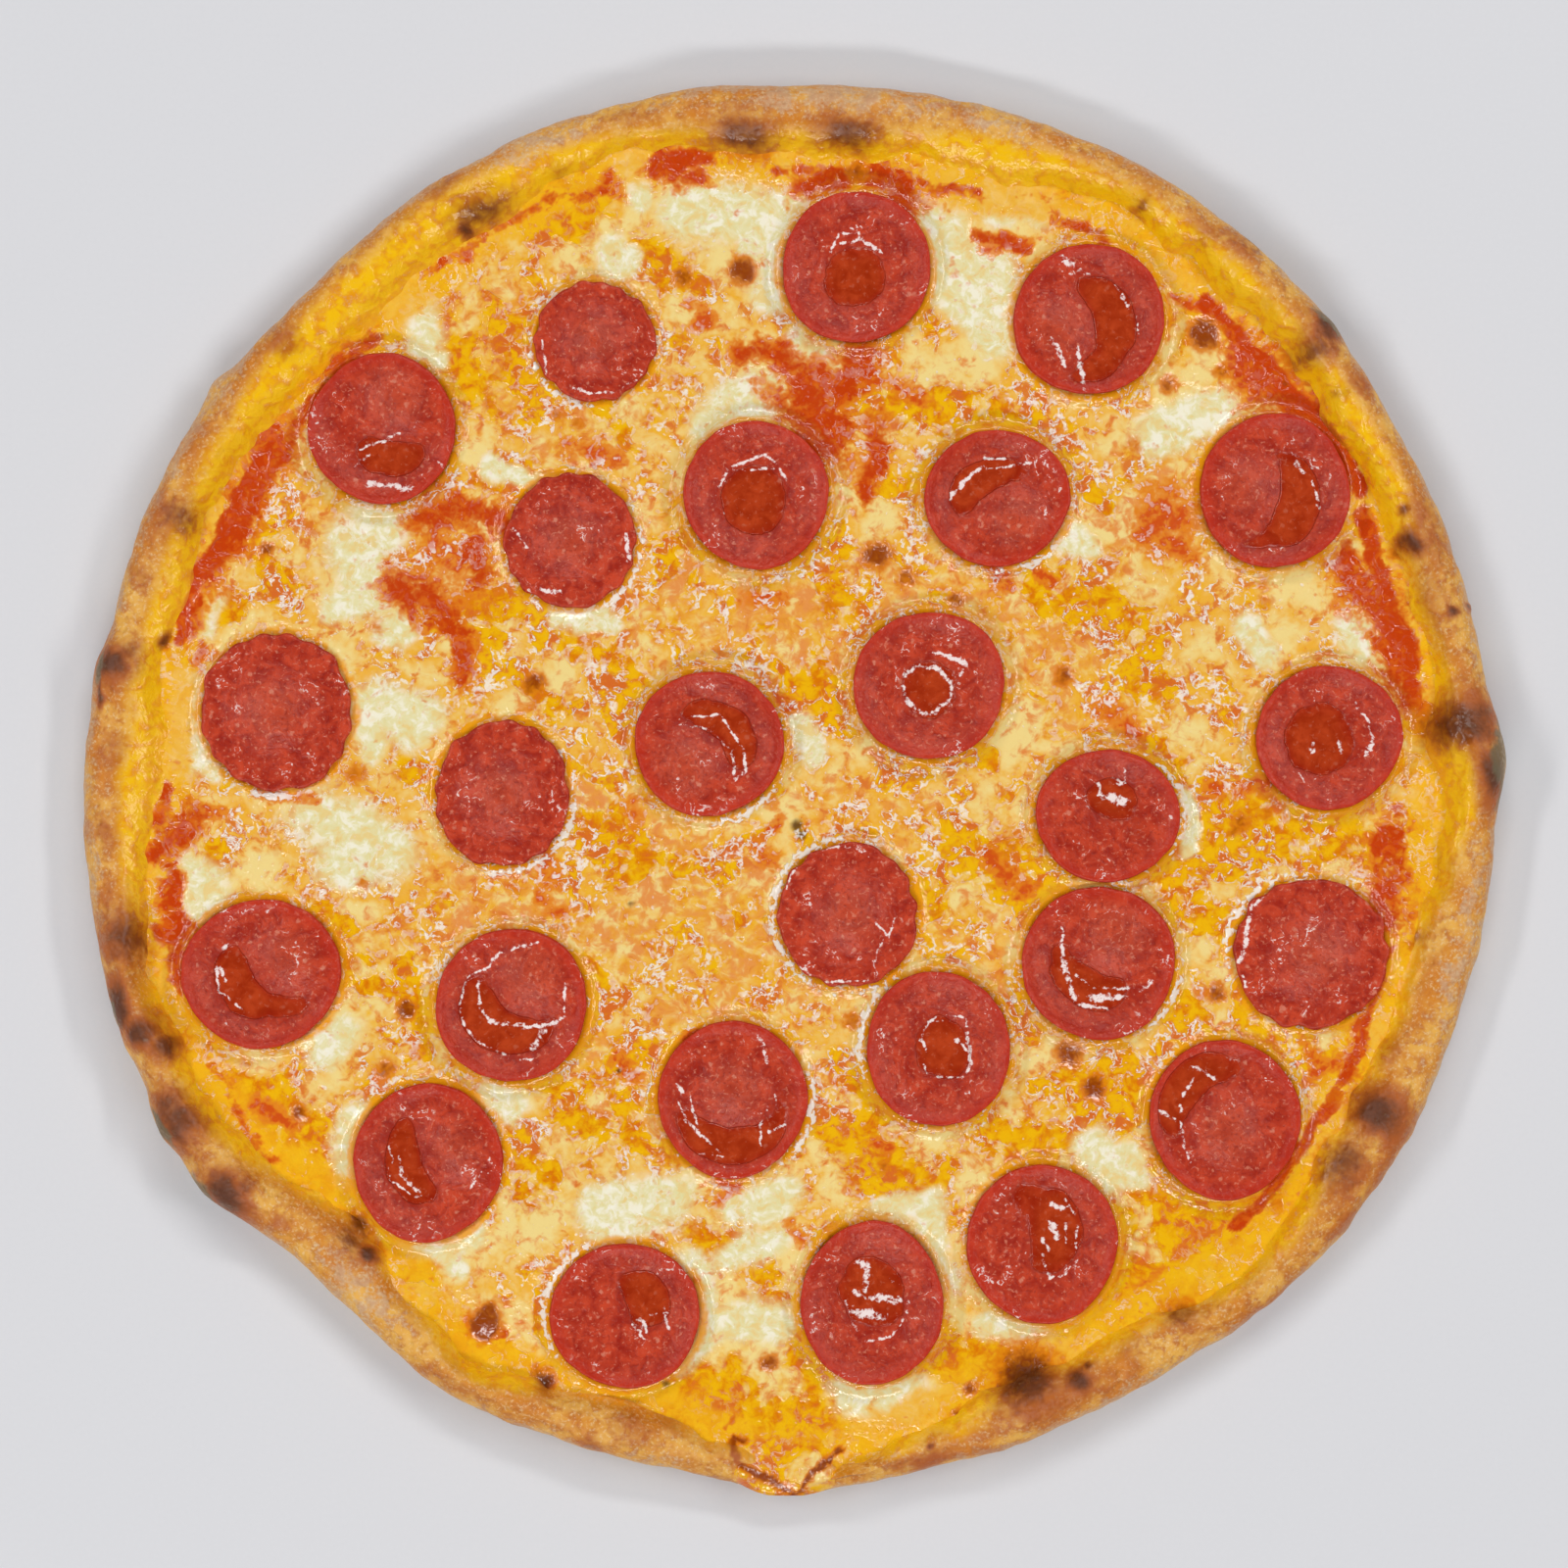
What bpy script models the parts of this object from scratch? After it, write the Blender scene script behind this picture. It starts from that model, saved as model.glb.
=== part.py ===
"""A whole baked pepperoni pizza, about 33 cm across, as solids at real size.

The dough base has a puffed rim. Tomato sauce fills its dish, a sheet of melted cheese lies on the
sauce and leaves it bare in bays along the rim and in three gaps, and 26 pepperoni slices, curled
into cups and domes by the oven, rest on the cheese. Origin: centre of the underside. +Z is up and
+Y is the top of the pizza as seen from above. Lengths below are millimetres unless a name says
degrees; the meshes are in metres.
"""

import math

import bmesh
import bpy
import numpy as np
from mathutils import Matrix, Vector

MM = 0.001

# Outline of the crust and of the toppings: a radius every 15 degrees, counterclockwise from +X
OUTLINE_STEP_DEG = 15
CRUST_RADII = (
    163.5, 163.3, 163.8, 166.1, 167.0, 166.5, 165.6, 166.1, 165.6, 164.2, 165.8, 165.6,
    167.2, 167.7, 167.4, 160.8, 163.1, 161.7, 163.2, 161.7, 161.5, 164.0, 164.5, 164.0,
)
TOPPING_RADII = (
    150.0, 148.4, 150.7, 151.3, 152.7, 147.7, 147.2, 153.0, 150.0, 149.0, 150.7, 150.0,
    149.0, 155.9, 153.6, 143.8, 151.8, 147.7, 157.5, 147.7, 146.7, 151.8, 147.2, 147.2,
)

# Crust: a flat base with a rolled rim, blistered where it charred
BASE_THICKNESS = 4.0
RIM_HEIGHT = 13.4
RIM_BELLY_HEIGHT = 5.6
CREST_INSET = 8.6
CREST_SHARE = 0.55
FOOT_HEIGHT = 7.6
CRUST_SEGMENTS = 144
CRUST_LUMP_HEIGHT = 0.30
CRUST_LUMP_LENGTH = 16.0
# The rim's height swings round the circle: number of waves, phase in radians, height
RIM_SWINGS = (
    (2, 0.7, 0.66),
    (7, 2.1, 0.44),
)
# Cross-section of the rim. Under the belly: inset from the outline, height. Above it: inset, share of
# the height from belly to crest. Inside: share of the way out from the topping edge to the crest,
# share of the height from the foot to the crest
UNDER_PROFILE = ((11.0, 0.0), (5.0, 0.5), (1.3, 2.6))
OUTER_PROFILE = ((0.0, 0.0), (0.9, 0.50), (3.6, 0.86))
INNER_PROFILE = ((0.55, 0.74), (0.22, 0.28), (0.0, 0.0))
# Blisters on the rim: angle in degrees, how far it pushes the outline out, how much it lifts the
# crest, half width in degrees
RIM_BLISTERS = (
    (2.5, 2.8, 2.6, 3.4),
    (42.0, 0.8, 1.0, 3.0),
    (84.0, 0.0, 0.8, 3.0),
    (120.0, 0.3, 1.0, 3.5),
    (145.0, 1.4, 0.5, 1.6),
    (170.0, 0.9, 1.5, 3.0),
    (199.0, 0.9, 1.6, 3.0),
    (208.0, 1.9, 1.4, 2.2),
    (214.0, 2.0, 1.4, 2.4),
    (292.0, 0.0, 1.3, 3.5),
    (331.0, 0.3, 1.2, 3.0),
)
# Where cheese ran out over the rim to a browned tip
SPILL_ANGLE_DEG = 269.0
SPILL_HALF_WIDTH_DEG = 4.0
SPILL_DROP = 4.6
SPILL_REACH = 2.0

# Layers on the base
GAP = 0.3
SAUCE_THICKNESS = 1.4
SAUCE_RIPPLE = 0.25
SAUCE_RIPPLE_LENGTH = 18.0
SAUCE_SEGMENTS = 96
SAUCE_RING_SHARES = (1.0, 0.96, 0.92)
CHEESE_THICKNESS = 1.5
CHEESE_SWELL = 0.45
CHEESE_SWELL_LENGTH = 46.0
CHEESE_RIM_RISE = 0.5
CHEESE_RIM_RISE_WIDTH = 16.0
CHEESE_CELL = 8.0
CHEESE_OUTLINE_POINTS = 120
CUTTER_MARGIN = 3.0

# Bays where the sauce is bare between cheese and rim: angle in degrees, depth, half width in degrees
SAUCE_BAYS = (
    (18.0, 7.0, 9.0),
    (42.0, 8.5, 7.0),
    (82.0, 4.0, 6.0),
    (101.0, 8.0, 3.5),
    (140.0, 4.5, 6.0),
    (156.0, 6.5, 9.0),
    (183.0, 9.0, 4.5),
    (193.0, 4.0, 4.5),
    (334.0, 6.0, 7.0),
    (349.0, 5.0, 4.5),
)
# Gaps in the cheese with bare sauce: x, y, half length, half width, turn in degrees
SAUCE_GAPS = (
    (4.0, 92.3, 11.0, 8.2, -35.0),
    (-80.5, 51.0, 12.0, 7.4, -60.0),
    (75.5, 16.0, 5.4, 4.4, 20.0),
)
GAP_OUTLINE_POINTS = 14
GAP_RAGGEDNESS = 0.13
GAP_SEED = 31

# Pepperoni slices, curled by the oven
SLICE_THICKNESS = 1.5
SLICE_SEGMENTS = 18
SLICE_RINGS = (0.40, 0.74, 1.0)
SLICE_CLEARANCE = 0.45
SLICE_WAVER = 0.009
SLICE_SEED = 100
BLISTER_SPREAD = 0.50
BLISTER_LEAN = 0.45
OFF_CENTRE = 0.3
EDGE_CURL_POWER = 3.0
RIM_SLICE_TILT_DEG = 2.5
RIM_SLICE_REACH = 108.0
# Form: rise of the slice's edge, height of its blister, how far the blister is off centre (in radii)
SLICE_FORMS = {
    "cup": (3.0, 0.0, 0.0),
    "shallow": (1.9, 0.7, 0.45),
    "half": (2.7, 3.3, 0.42),
    "dome": (0.4, 3.5, 0.0),
    "ringed": (2.0, 3.4, 0.12),
}
# Slices: x, y, half width, half height, form, direction of the blister in degrees
SLICES = (
    (13.6, 121.7, 17.4, 17.5, "cup", 270),
    (67.9, 109.7, 17.5, 17.6, "half", 200),
    (-47.4, 104.7, 14.0, 14.0, "dome", 0),
    (-96.8, 84.2, 17.1, 17.4, "half", 60),
    (-9.7, 68.8, 17.0, 17.1, "cup", 270),
    (46.5, 68.1, 17.0, 15.8, "half", 310),
    (111.1, 69.7, 17.4, 17.8, "half", 180),
    (-53.1, 58.2, 15.4, 15.6, "dome", 0),
    (-121.7, 18.2, 17.6, 18.4, "dome", 0),
    (-69.0, -0.9, 15.7, 17.0, "dome", 0),
    (-20.7, 10.8, 17.3, 17.0, "half", 225),
    (30.6, 24.4, 17.6, 17.3, "cup", 90),
    (123.7, 12.2, 16.8, 16.8, "cup", 0),
    (72.2, -6.0, 16.9, 15.3, "shallow", 230),
    (11.7, -29.2, 16.4, 16.7, "dome", 0),
    (70.2, -40.3, 17.8, 18.0, "half", 60),
    (119.8, -38.2, 18.1, 17.4, "dome", 0),
    (-125.1, -42.8, 18.4, 17.2, "half", 35),
    (-66.7, -50.1, 17.7, 17.8, "half", 60),
    (-15.2, -72.2, 17.5, 18.2, "ringed", 90),
    (32.7, -60.3, 16.9, 18.0, "cup", 0),
    (-86.3, -86.9, 17.4, 18.2, "half", 30),
    (99.6, -76.8, 17.6, 18.4, "ringed", 270),
    (-40.3, -122.6, 17.7, 16.6, "shallow", 175),
    (17.3, -119.6, 16.7, 18.8, "cup", 90),
    (57.0, -105.8, 17.5, 18.4, "shallow", 170),
)

# Heights that follow from the layers
SAUCE_BOTTOM = BASE_THICKNESS + GAP
SAUCE_TOP = SAUCE_BOTTOM + SAUCE_THICKNESS
CHEESE_BOTTOM = SAUCE_TOP + SAUCE_RIPPLE + GAP
CHEESE_TOP = CHEESE_BOTTOM + CHEESE_THICKNESS


def smooth_ring(values, angle_deg):
    """A closed Catmull-Rom curve through values spaced evenly round the circle, read at angle_deg."""
    count = len(values)
    place = (np.asarray(angle_deg, float) / OUTLINE_STEP_DEG) % count
    index = np.floor(place).astype(int)
    t = place - index
    before, start, end, after = (np.take(values, (index + k) % count) for k in (-1, 0, 1, 2))
    linear = end - before
    square = 2 * before - 5 * start + 4 * end - after
    cube = 3 * start - before - 3 * end + after
    return start + 0.5 * t * (linear + t * (square + t * cube))


def angle_bump(angle_deg, centre_deg, half_width_deg):
    """A bell round the circle: 1 at centre_deg, about a third at half_width_deg from it."""
    away = (angle_deg - centre_deg + 180.0) % 360.0 - 180.0
    return np.exp(-((away / half_width_deg) ** 2))


def waves(x, y, wavelength, count, seed):
    """A smooth random field of about unit height: the mean of plane waves in seeded directions."""
    random = np.random.default_rng(seed)
    total = np.zeros(np.broadcast(x, y).shape)
    for _ in range(count):
        heading, phase = random.uniform(0.0, 2.0 * math.pi, 2)
        length = wavelength * random.uniform(0.8, 1.6)
        along = x * math.cos(heading) + y * math.sin(heading)
        total = total + np.sin(2.0 * math.pi * along / length + phase)
    return total * math.sqrt(2.0 / count)


def crust_radius(angle_deg):
    """Outer radius of the crust, blisters included."""
    radius = smooth_ring(CRUST_RADII, angle_deg)
    for centre, push, _, half_width in RIM_BLISTERS:
        radius = radius + push * angle_bump(angle_deg, centre, half_width)
    return radius + SPILL_REACH * angle_bump(angle_deg, SPILL_ANGLE_DEG, SPILL_HALF_WIDTH_DEG)


def crest_height(angle_deg):
    """Height of the rim's crest: a slow swing, lifted at blisters and pressed down at the spill."""
    turn = np.radians(angle_deg)
    height = RIM_HEIGHT + sum(swing * np.sin(count * turn + phase) for count, phase, swing in RIM_SWINGS)
    for centre, _, lift, half_width in RIM_BLISTERS:
        height = height + lift * angle_bump(angle_deg, centre, half_width)
    return height - SPILL_DROP * angle_bump(angle_deg, SPILL_ANGLE_DEG, SPILL_HALF_WIDTH_DEG)


def cheese_radius(angle_deg):
    """Outer radius of the cheese: the topping edge less the bays of bare sauce."""
    radius = smooth_ring(TOPPING_RADII, angle_deg) - 2 * GAP
    for centre, depth, half_width in SAUCE_BAYS:
        radius = radius - depth * angle_bump(angle_deg, centre, half_width)
    return radius


def cheese_height(x, y):
    """Top of the cheese: a low swell everywhere, and a gentle rise towards the rim."""
    from_centre = np.hypot(x, y)
    edge = smooth_ring(TOPPING_RADII, np.degrees(np.arctan2(y, x)))
    near_rim = np.clip(1.0 - (edge - from_centre) / CHEESE_RIM_RISE_WIDTH, 0.0, 1.0)
    swell = CHEESE_SWELL * waves(x, y, CHEESE_SWELL_LENGTH, 9, seed=5)
    return CHEESE_TOP + swell + CHEESE_RIM_RISE * near_rim**2


def material(name, colour, roughness):
    """A Principled material of one colour."""
    made = bpy.data.materials.new(name)
    made.use_nodes = True
    shader = made.node_tree.nodes["Principled BSDF"]
    shader.inputs["Base Color"].default_value = (*colour, 1.0)
    shader.inputs["Roughness"].default_value = roughness
    shader.inputs["Metallic"].default_value = 0.0
    made.diffuse_color = (*colour, 1.0)
    return made


def new_object(name, mesh_builder, finish, closed=True):
    """An object from a filled bmesh, in metres. A closed one gets its normals turned outwards."""
    if closed:
        bmesh.ops.recalc_face_normals(mesh_builder, faces=mesh_builder.faces)
    mesh = bpy.data.meshes.new(name)
    mesh_builder.to_mesh(mesh)
    mesh_builder.free()
    if finish is not None:
        mesh.materials.append(finish)
    made = bpy.data.objects.new(name, mesh)
    bpy.context.scene.collection.objects.link(made)
    return made


def ring_of(builder, radius, height, angles_deg):
    """Vertices round the Z axis, one for each angle, at that radius and height."""
    turn = np.radians(angles_deg)
    x = radius * np.cos(turn)
    y = radius * np.sin(turn)
    z = np.broadcast_to(height, turn.shape)
    return [builder.verts.new((x[i] * MM, y[i] * MM, z[i] * MM)) for i in range(len(turn))]


def bridge(builder, first, second):
    """A band of quads between two rings with the same number of vertices."""
    count = len(first)
    for i in range(count):
        j = (i + 1) % count
        builder.faces.new((first[i], first[j], second[j], second[i]))


def cap(builder, ring, height):
    """A fan from a centre vertex on the Z axis to a ring."""
    centre = builder.verts.new((0.0, 0.0, height * MM))
    count = len(ring)
    for i in range(count):
        builder.faces.new((centre, ring[i], ring[(i + 1) % count]))


def crust_profile(radius, topping, crest):
    """(radius, height) pairs from the underside's edge, out over the rim, to the dish's floor."""
    crest_radius = radius - np.minimum(CREST_INSET, CREST_SHARE * (radius - topping))
    profile = [(radius - inset, height) for inset, height in UNDER_PROFILE]
    for inset, share in OUTER_PROFILE:
        profile.append((radius - inset, RIM_BELLY_HEIGHT + share * (crest - RIM_BELLY_HEIGHT)))
    profile.append((crest_radius, crest))
    for way, share in INNER_PROFILE:
        height = FOOT_HEIGHT + share * (crest - FOOT_HEIGHT)
        profile.append((topping + way * (crest_radius - topping), height))
    profile.append((topping - GAP, BASE_THICKNESS))
    return profile


def build_crust(finish):
    """The dough: one closed solid, lofted round the Z axis from the profile."""
    builder = bmesh.new()
    angles = np.arange(CRUST_SEGMENTS) * 360.0 / CRUST_SEGMENTS
    turn = np.radians(angles)
    topping = smooth_ring(TOPPING_RADII, angles)
    rings = []
    for radius, height in crust_profile(crust_radius(angles), topping, crest_height(angles)):
        if np.ndim(height):
            x, y = radius * np.cos(turn), radius * np.sin(turn)
            height = height + CRUST_LUMP_HEIGHT * waves(x, y, CRUST_LUMP_LENGTH, 7, seed=11)
        rings.append(ring_of(builder, radius, height, angles))
    cap(builder, rings[0], 0.0)
    for first, second in zip(rings, rings[1:]):
        bridge(builder, first, second)
    cap(builder, rings[-1], BASE_THICKNESS)
    made = new_object("crust", builder, finish)
    made.data.shade_smooth()
    made.data.set_sharp_from_angle(angle=math.radians(50))
    return made


def build_sauce(finish):
    """The tomato sauce: a thin disc that fills the dish, its top gently rippled."""
    builder = bmesh.new()
    angles = np.arange(SAUCE_SEGMENTS) * 360.0 / SAUCE_SEGMENTS
    edge = smooth_ring(TOPPING_RADII, angles) - 2 * GAP
    turn = np.radians(angles)
    low = ring_of(builder, edge, SAUCE_BOTTOM, angles)
    rings = [low]
    for share in SAUCE_RING_SHARES:
        x, y = share * edge * np.cos(turn), share * edge * np.sin(turn)
        ripple = SAUCE_RIPPLE * waves(x, y, SAUCE_RIPPLE_LENGTH, 7, seed=21)
        height = SAUCE_TOP + np.clip(ripple, -SAUCE_RIPPLE, SAUCE_RIPPLE)
        rings.append(ring_of(builder, share * edge, height, angles))
    cap(builder, low, SAUCE_BOTTOM)
    for first, second in zip(rings, rings[1:]):
        bridge(builder, first, second)
    cap(builder, rings[-1], SAUCE_TOP)
    return new_object("sauce", builder, finish)


def prism(name, outlines, low, high):
    """A helper solid: each outline, a list of (x, y), stood up from low to high."""
    builder = bmesh.new()
    for outline in outlines:
        bottom = [builder.verts.new((x * MM, y * MM, low * MM)) for x, y in outline]
        top = [builder.verts.new((x * MM, y * MM, high * MM)) for x, y in outline]
        builder.faces.new(bottom)
        builder.faces.new(top)
        bridge(builder, bottom, top)
    made = new_object(name, builder, None)
    made.hide_render = True
    made.display_type = "WIRE"
    return made


def ragged_outline(x, y, half_length, half_width, turn_deg, seed):
    """An oval with a torn edge: its radius wavers by three seeded waves."""
    random = np.random.default_rng(seed)
    phases = random.uniform(0.0, 2.0 * math.pi, 3)
    around = np.arange(GAP_OUTLINE_POINTS) * 2.0 * math.pi / GAP_OUTLINE_POINTS
    waver = sum(np.sin((k + 2) * around + phases[k]) for k in range(3))
    radius = 1.0 + GAP_RAGGEDNESS * waver
    along = half_length * radius * np.cos(around)
    across = half_width * radius * np.sin(around)
    c, s = math.cos(math.radians(turn_deg)), math.sin(math.radians(turn_deg))
    return list(zip(x + c * along - s * across, y + s * along + c * across))


def cheese_slab(finish):
    """A square slab with the cheese's relief on top and a flat underside, before it is cut to shape."""
    reach = max(TOPPING_RADII) + CHEESE_CELL
    cells = round(2 * reach / CHEESE_CELL)
    builder = bmesh.new()
    bmesh.ops.create_grid(builder, x_segments=cells, y_segments=cells, size=reach * MM)
    for vertex in builder.verts:
        vertex.co.z = float(cheese_height(vertex.co.x / MM, vertex.co.y / MM)) * MM
    border = [edge for edge in builder.edges if edge.is_boundary]
    walls = bmesh.ops.extrude_edge_only(builder, edges=border)["geom"]
    lower_edges = [item for item in walls if isinstance(item, bmesh.types.BMEdge) and item.is_boundary]
    for vertex in {corner for edge in lower_edges for corner in edge.verts}:
        vertex.co.z = CHEESE_BOTTOM * MM
    bmesh.ops.contextual_create(builder, geom=lower_edges)
    return new_object("cheese", builder, finish)


def build_cheese(finish):
    """The melted cheese: the slab cut to its outline, with three ragged gaps through it."""
    cheese = cheese_slab(finish)
    angles = np.arange(CHEESE_OUTLINE_POINTS) * 360.0 / CHEESE_OUTLINE_POINTS
    radius = cheese_radius(angles)
    turn = np.radians(angles)
    outline = list(zip(radius * np.cos(turn), radius * np.sin(turn)))
    below = CHEESE_BOTTOM - CUTTER_MARGIN
    above = CHEESE_TOP + CHEESE_RIM_RISE + 2 * CUTTER_MARGIN
    keep = prism("cheese_outline", [outline], below, above)
    gaps = [ragged_outline(*row, seed=GAP_SEED + number) for number, row in enumerate(SAUCE_GAPS)]
    holes = prism("cheese_gaps", gaps, below, above)
    for name, operation, cutter in (("outline", "INTERSECT", keep), ("gaps", "DIFFERENCE", holes)):
        cut = cheese.modifiers.new(name, "BOOLEAN")
        cut.operation = operation
        cut.solver = "EXACT"
        cut.object = cutter
    return cheese


def slice_rise(across, up, form, direction_deg):
    """Height of a slice's underside over its seat, at across and up in slice radii from its centre.

    The edge curls up with the cube of the distance from the centre, less on the blister's side, and
    a bell-shaped blister stands towards direction_deg.
    """
    edge_rise, blister_height, offset = SLICE_FORMS[form]
    heading = math.radians(direction_deg)
    toward = across * math.cos(heading) + up * math.sin(heading)
    lean = BLISTER_LEAN * toward if offset > OFF_CENTRE else 0.0
    curl = edge_rise * np.hypot(across, up) ** EDGE_CURL_POWER * (1.0 - lean)
    from_blister = np.hypot(across - offset * math.cos(heading), up - offset * math.sin(heading))
    return curl + blister_height * np.exp(-((from_blister / BLISTER_SPREAD) ** 2))


def slice_outline(number, around):
    """A slice's radius as a share of its half width: a slightly wavy circle."""
    random = np.random.default_rng(SLICE_SEED + number)
    phases = random.uniform(0.0, 2.0 * math.pi, 3)
    return 1.0 + sum(SLICE_WAVER * np.sin((k + 2) * around + phases[k]) for k in range(3))


def slice_tilt(x, y):
    """Slices near the rim lean a little towards the middle, as the cheese climbs the rim there."""
    if math.hypot(x, y) < RIM_SLICE_REACH:
        return Matrix.Identity(3)
    outward = Vector((x, y, 0.0)).normalized()
    axis = Vector((outward.y, -outward.x, 0.0))
    return Matrix.Rotation(math.radians(RIM_SLICE_TILT_DEG), 3, axis)


def build_slice(number, row, finish):
    """One pepperoni slice: its underside as a sheet of rings, thickened upwards by Solidify."""
    x, y, half_width, half_height, form, direction = row
    around = np.arange(SLICE_SEGMENTS) * 2.0 * math.pi / SLICE_SEGMENTS
    edge = slice_outline(number, around)
    tilt = slice_tilt(x, y)
    builder = bmesh.new()
    rings = []
    for share in SLICE_RINGS:
        across = share * edge * np.cos(around)
        up = share * edge * np.sin(around)
        rise = slice_rise(across, up, form, direction)
        points = zip(half_width * across, half_height * up, rise)
        rings.append([builder.verts.new(Vector(point) * MM) for point in points])
    middle = builder.verts.new((0.0, 0.0, float(slice_rise(0.0, 0.0, form, direction)) * MM))
    for i in range(SLICE_SEGMENTS):
        builder.faces.new((middle, rings[0][i], rings[0][(i + 1) % SLICE_SEGMENTS]))
    for inner, outer in zip(rings, rings[1:]):
        bridge(builder, outer, inner)
    seat = max(seat_needed(vertex.co, x, y, tilt) for vertex in builder.verts)
    made = new_object(f"pepperoni_{number:02d}", builder, finish, closed=False)
    made.location = (x * MM, y * MM, (seat + SLICE_CLEARANCE) * MM)
    made.rotation_euler = tilt.to_euler()
    thicken = made.modifiers.new("thickness", "SOLIDIFY")
    thicken.thickness = SLICE_THICKNESS * MM
    thicken.offset = 1.0
    made.data.shade_smooth()
    return made


def seat_needed(point, x, y, tilt):
    """How high the slice's centre must be for this point of its underside to touch the cheese."""
    turned = tilt @ point
    return float(cheese_height(x + turned.x / MM, y + turned.y / MM)) - turned.z / MM


def clear_scene():
    for old in list(bpy.data.objects):
        bpy.data.objects.remove(old)


def main():
    clear_scene()
    dough = material("baked dough", (0.62, 0.32, 0.10), 0.7)
    tomato = material("tomato sauce", (0.55, 0.06, 0.01), 0.35)
    melted = material("melted cheese", (0.87, 0.62, 0.25), 0.35)
    salami = material("pepperoni", (0.45, 0.04, 0.03), 0.35)
    build_crust(dough)
    build_sauce(tomato)
    build_cheese(melted)
    for number, row in enumerate(SLICES, start=1):
        build_slice(number, row, salami)


main()
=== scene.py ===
# %% [markdown]
# # A whole pepperoni pizza, dressed for the camera
# The solids of the pizza come in as a fixed frame: a dough base with its rim, the tomato sauce, one
# sheet of cheese and 26 pepperoni slices. They have the right size and place but plain surfaces.
# This lesson builds the surfaces that the eye sees over them, each worked out with numpy, and gives
# each a finish made of nodes. Lengths are in millimetres until a mesh is filled, then in metres.

import math

import bpy
import numpy as np
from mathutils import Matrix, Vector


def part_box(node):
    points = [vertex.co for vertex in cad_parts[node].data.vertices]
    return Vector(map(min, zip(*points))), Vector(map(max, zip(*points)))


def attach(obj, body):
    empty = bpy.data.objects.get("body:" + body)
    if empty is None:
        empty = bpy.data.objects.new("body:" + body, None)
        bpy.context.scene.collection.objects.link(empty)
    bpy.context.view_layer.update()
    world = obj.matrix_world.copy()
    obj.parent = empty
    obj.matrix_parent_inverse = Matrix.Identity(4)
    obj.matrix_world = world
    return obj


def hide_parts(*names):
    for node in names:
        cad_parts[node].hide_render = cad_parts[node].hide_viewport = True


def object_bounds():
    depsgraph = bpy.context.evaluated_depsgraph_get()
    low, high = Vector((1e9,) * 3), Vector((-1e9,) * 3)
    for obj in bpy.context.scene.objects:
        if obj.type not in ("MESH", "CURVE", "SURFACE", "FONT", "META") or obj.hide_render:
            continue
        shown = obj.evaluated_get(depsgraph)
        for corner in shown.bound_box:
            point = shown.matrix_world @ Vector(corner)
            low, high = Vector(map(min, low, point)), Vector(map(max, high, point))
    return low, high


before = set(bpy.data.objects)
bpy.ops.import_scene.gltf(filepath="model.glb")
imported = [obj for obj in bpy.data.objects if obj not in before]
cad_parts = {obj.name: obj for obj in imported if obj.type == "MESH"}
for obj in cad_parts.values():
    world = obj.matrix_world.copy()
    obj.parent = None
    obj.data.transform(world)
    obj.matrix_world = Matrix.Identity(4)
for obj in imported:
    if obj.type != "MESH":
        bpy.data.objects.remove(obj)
cad_low, cad_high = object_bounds()
MM = 0.001
print("solids:", len(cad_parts), "box in mm:", [round(v / MM, 1) for v in cad_high - cad_low])

# %% [markdown]
# ## Camera
# The picture was taken from straight above with a long lens. A long lens keeps the rim's outer wall
# almost out of sight. The frame is 368 mm wide at the height of the cheese, so an 85 mm lens on a
# 36 mm sensor stands 0.869 m over it.

# %% Place the camera over the pizza
LENS_MM = 85.0
SENSOR_MM = 36.0
LENS_PLACE = (-0.0032, 0.0014, 0.8746)
camera_data = bpy.data.cameras.new("overhead camera")
camera_data.lens = LENS_MM
camera_data.sensor_width = SENSOR_MM
camera = bpy.data.objects.new("overhead camera", camera_data)
camera.location = LENS_PLACE
bpy.context.scene.collection.objects.link(camera)
bpy.context.scene.camera = camera
print("camera height in m:", LENS_PLACE[2])

# %% [markdown]
# ## Light
# Oil on a pizza shows as thin bright lines where it bends up against something solid. Such a bend
# leans 20 to 30 degrees, so it mirrors lamps that stand 40 to 60 degrees off the vertical. Four long
# strip lamps on that slope, one on each side, draw these lines and leave almost no shadow, and a pale
# surrounding fills the rest. It is dim overhead, where the camera stood, so that flat wet surfaces
# mirror little and keep their deep colours.

# %% Strip lamps and a pale surrounding
LAMP_DISTANCE = 1.5
LAMP_SLOPE_DEG = 44.0
LAMP_SIZE = (1.0, 0.15)
# Each lamp: the side it stands on, in degrees counterclockwise from the right, and its power in watts
LAMPS = ((-98.0, 7.9), (8.0, 5.8), (82.0, 5.8), (172.0, 5.8))
# The surrounding is even up to one height of the direction, fades up to the other, and is dim over it
SKY_FADE_FROM, SKY_FADE_TO = 0.80, 0.95
SKY_STRENGTH, SKY_DIM_STRENGTH = 0.26, 0.03
SKY_COLOUR = (0.97, 0.98, 1.0, 1.0)
for turn_deg, power in LAMPS:
    turn = math.radians(turn_deg)
    lamp_data = bpy.data.lights.new("strip lamp", "AREA")
    lamp_data.energy = power
    lamp_data.shape = "RECTANGLE"
    lamp_data.size, lamp_data.size_y = LAMP_SIZE
    lamp = bpy.data.objects.new("strip lamp", lamp_data)
    out = LAMP_DISTANCE * math.sin(math.radians(LAMP_SLOPE_DEG))
    up = LAMP_DISTANCE * math.cos(math.radians(LAMP_SLOPE_DEG))
    lamp.location = (out * math.cos(turn), out * math.sin(turn), up)
    lamp.rotation_euler = (math.radians(LAMP_SLOPE_DEG), 0.0, turn + math.pi / 2.0)
    bpy.context.scene.collection.objects.link(lamp)
surrounding = bpy.data.worlds.new("pale surrounding")
surrounding.use_nodes = True
sky = surrounding.node_tree
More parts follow.
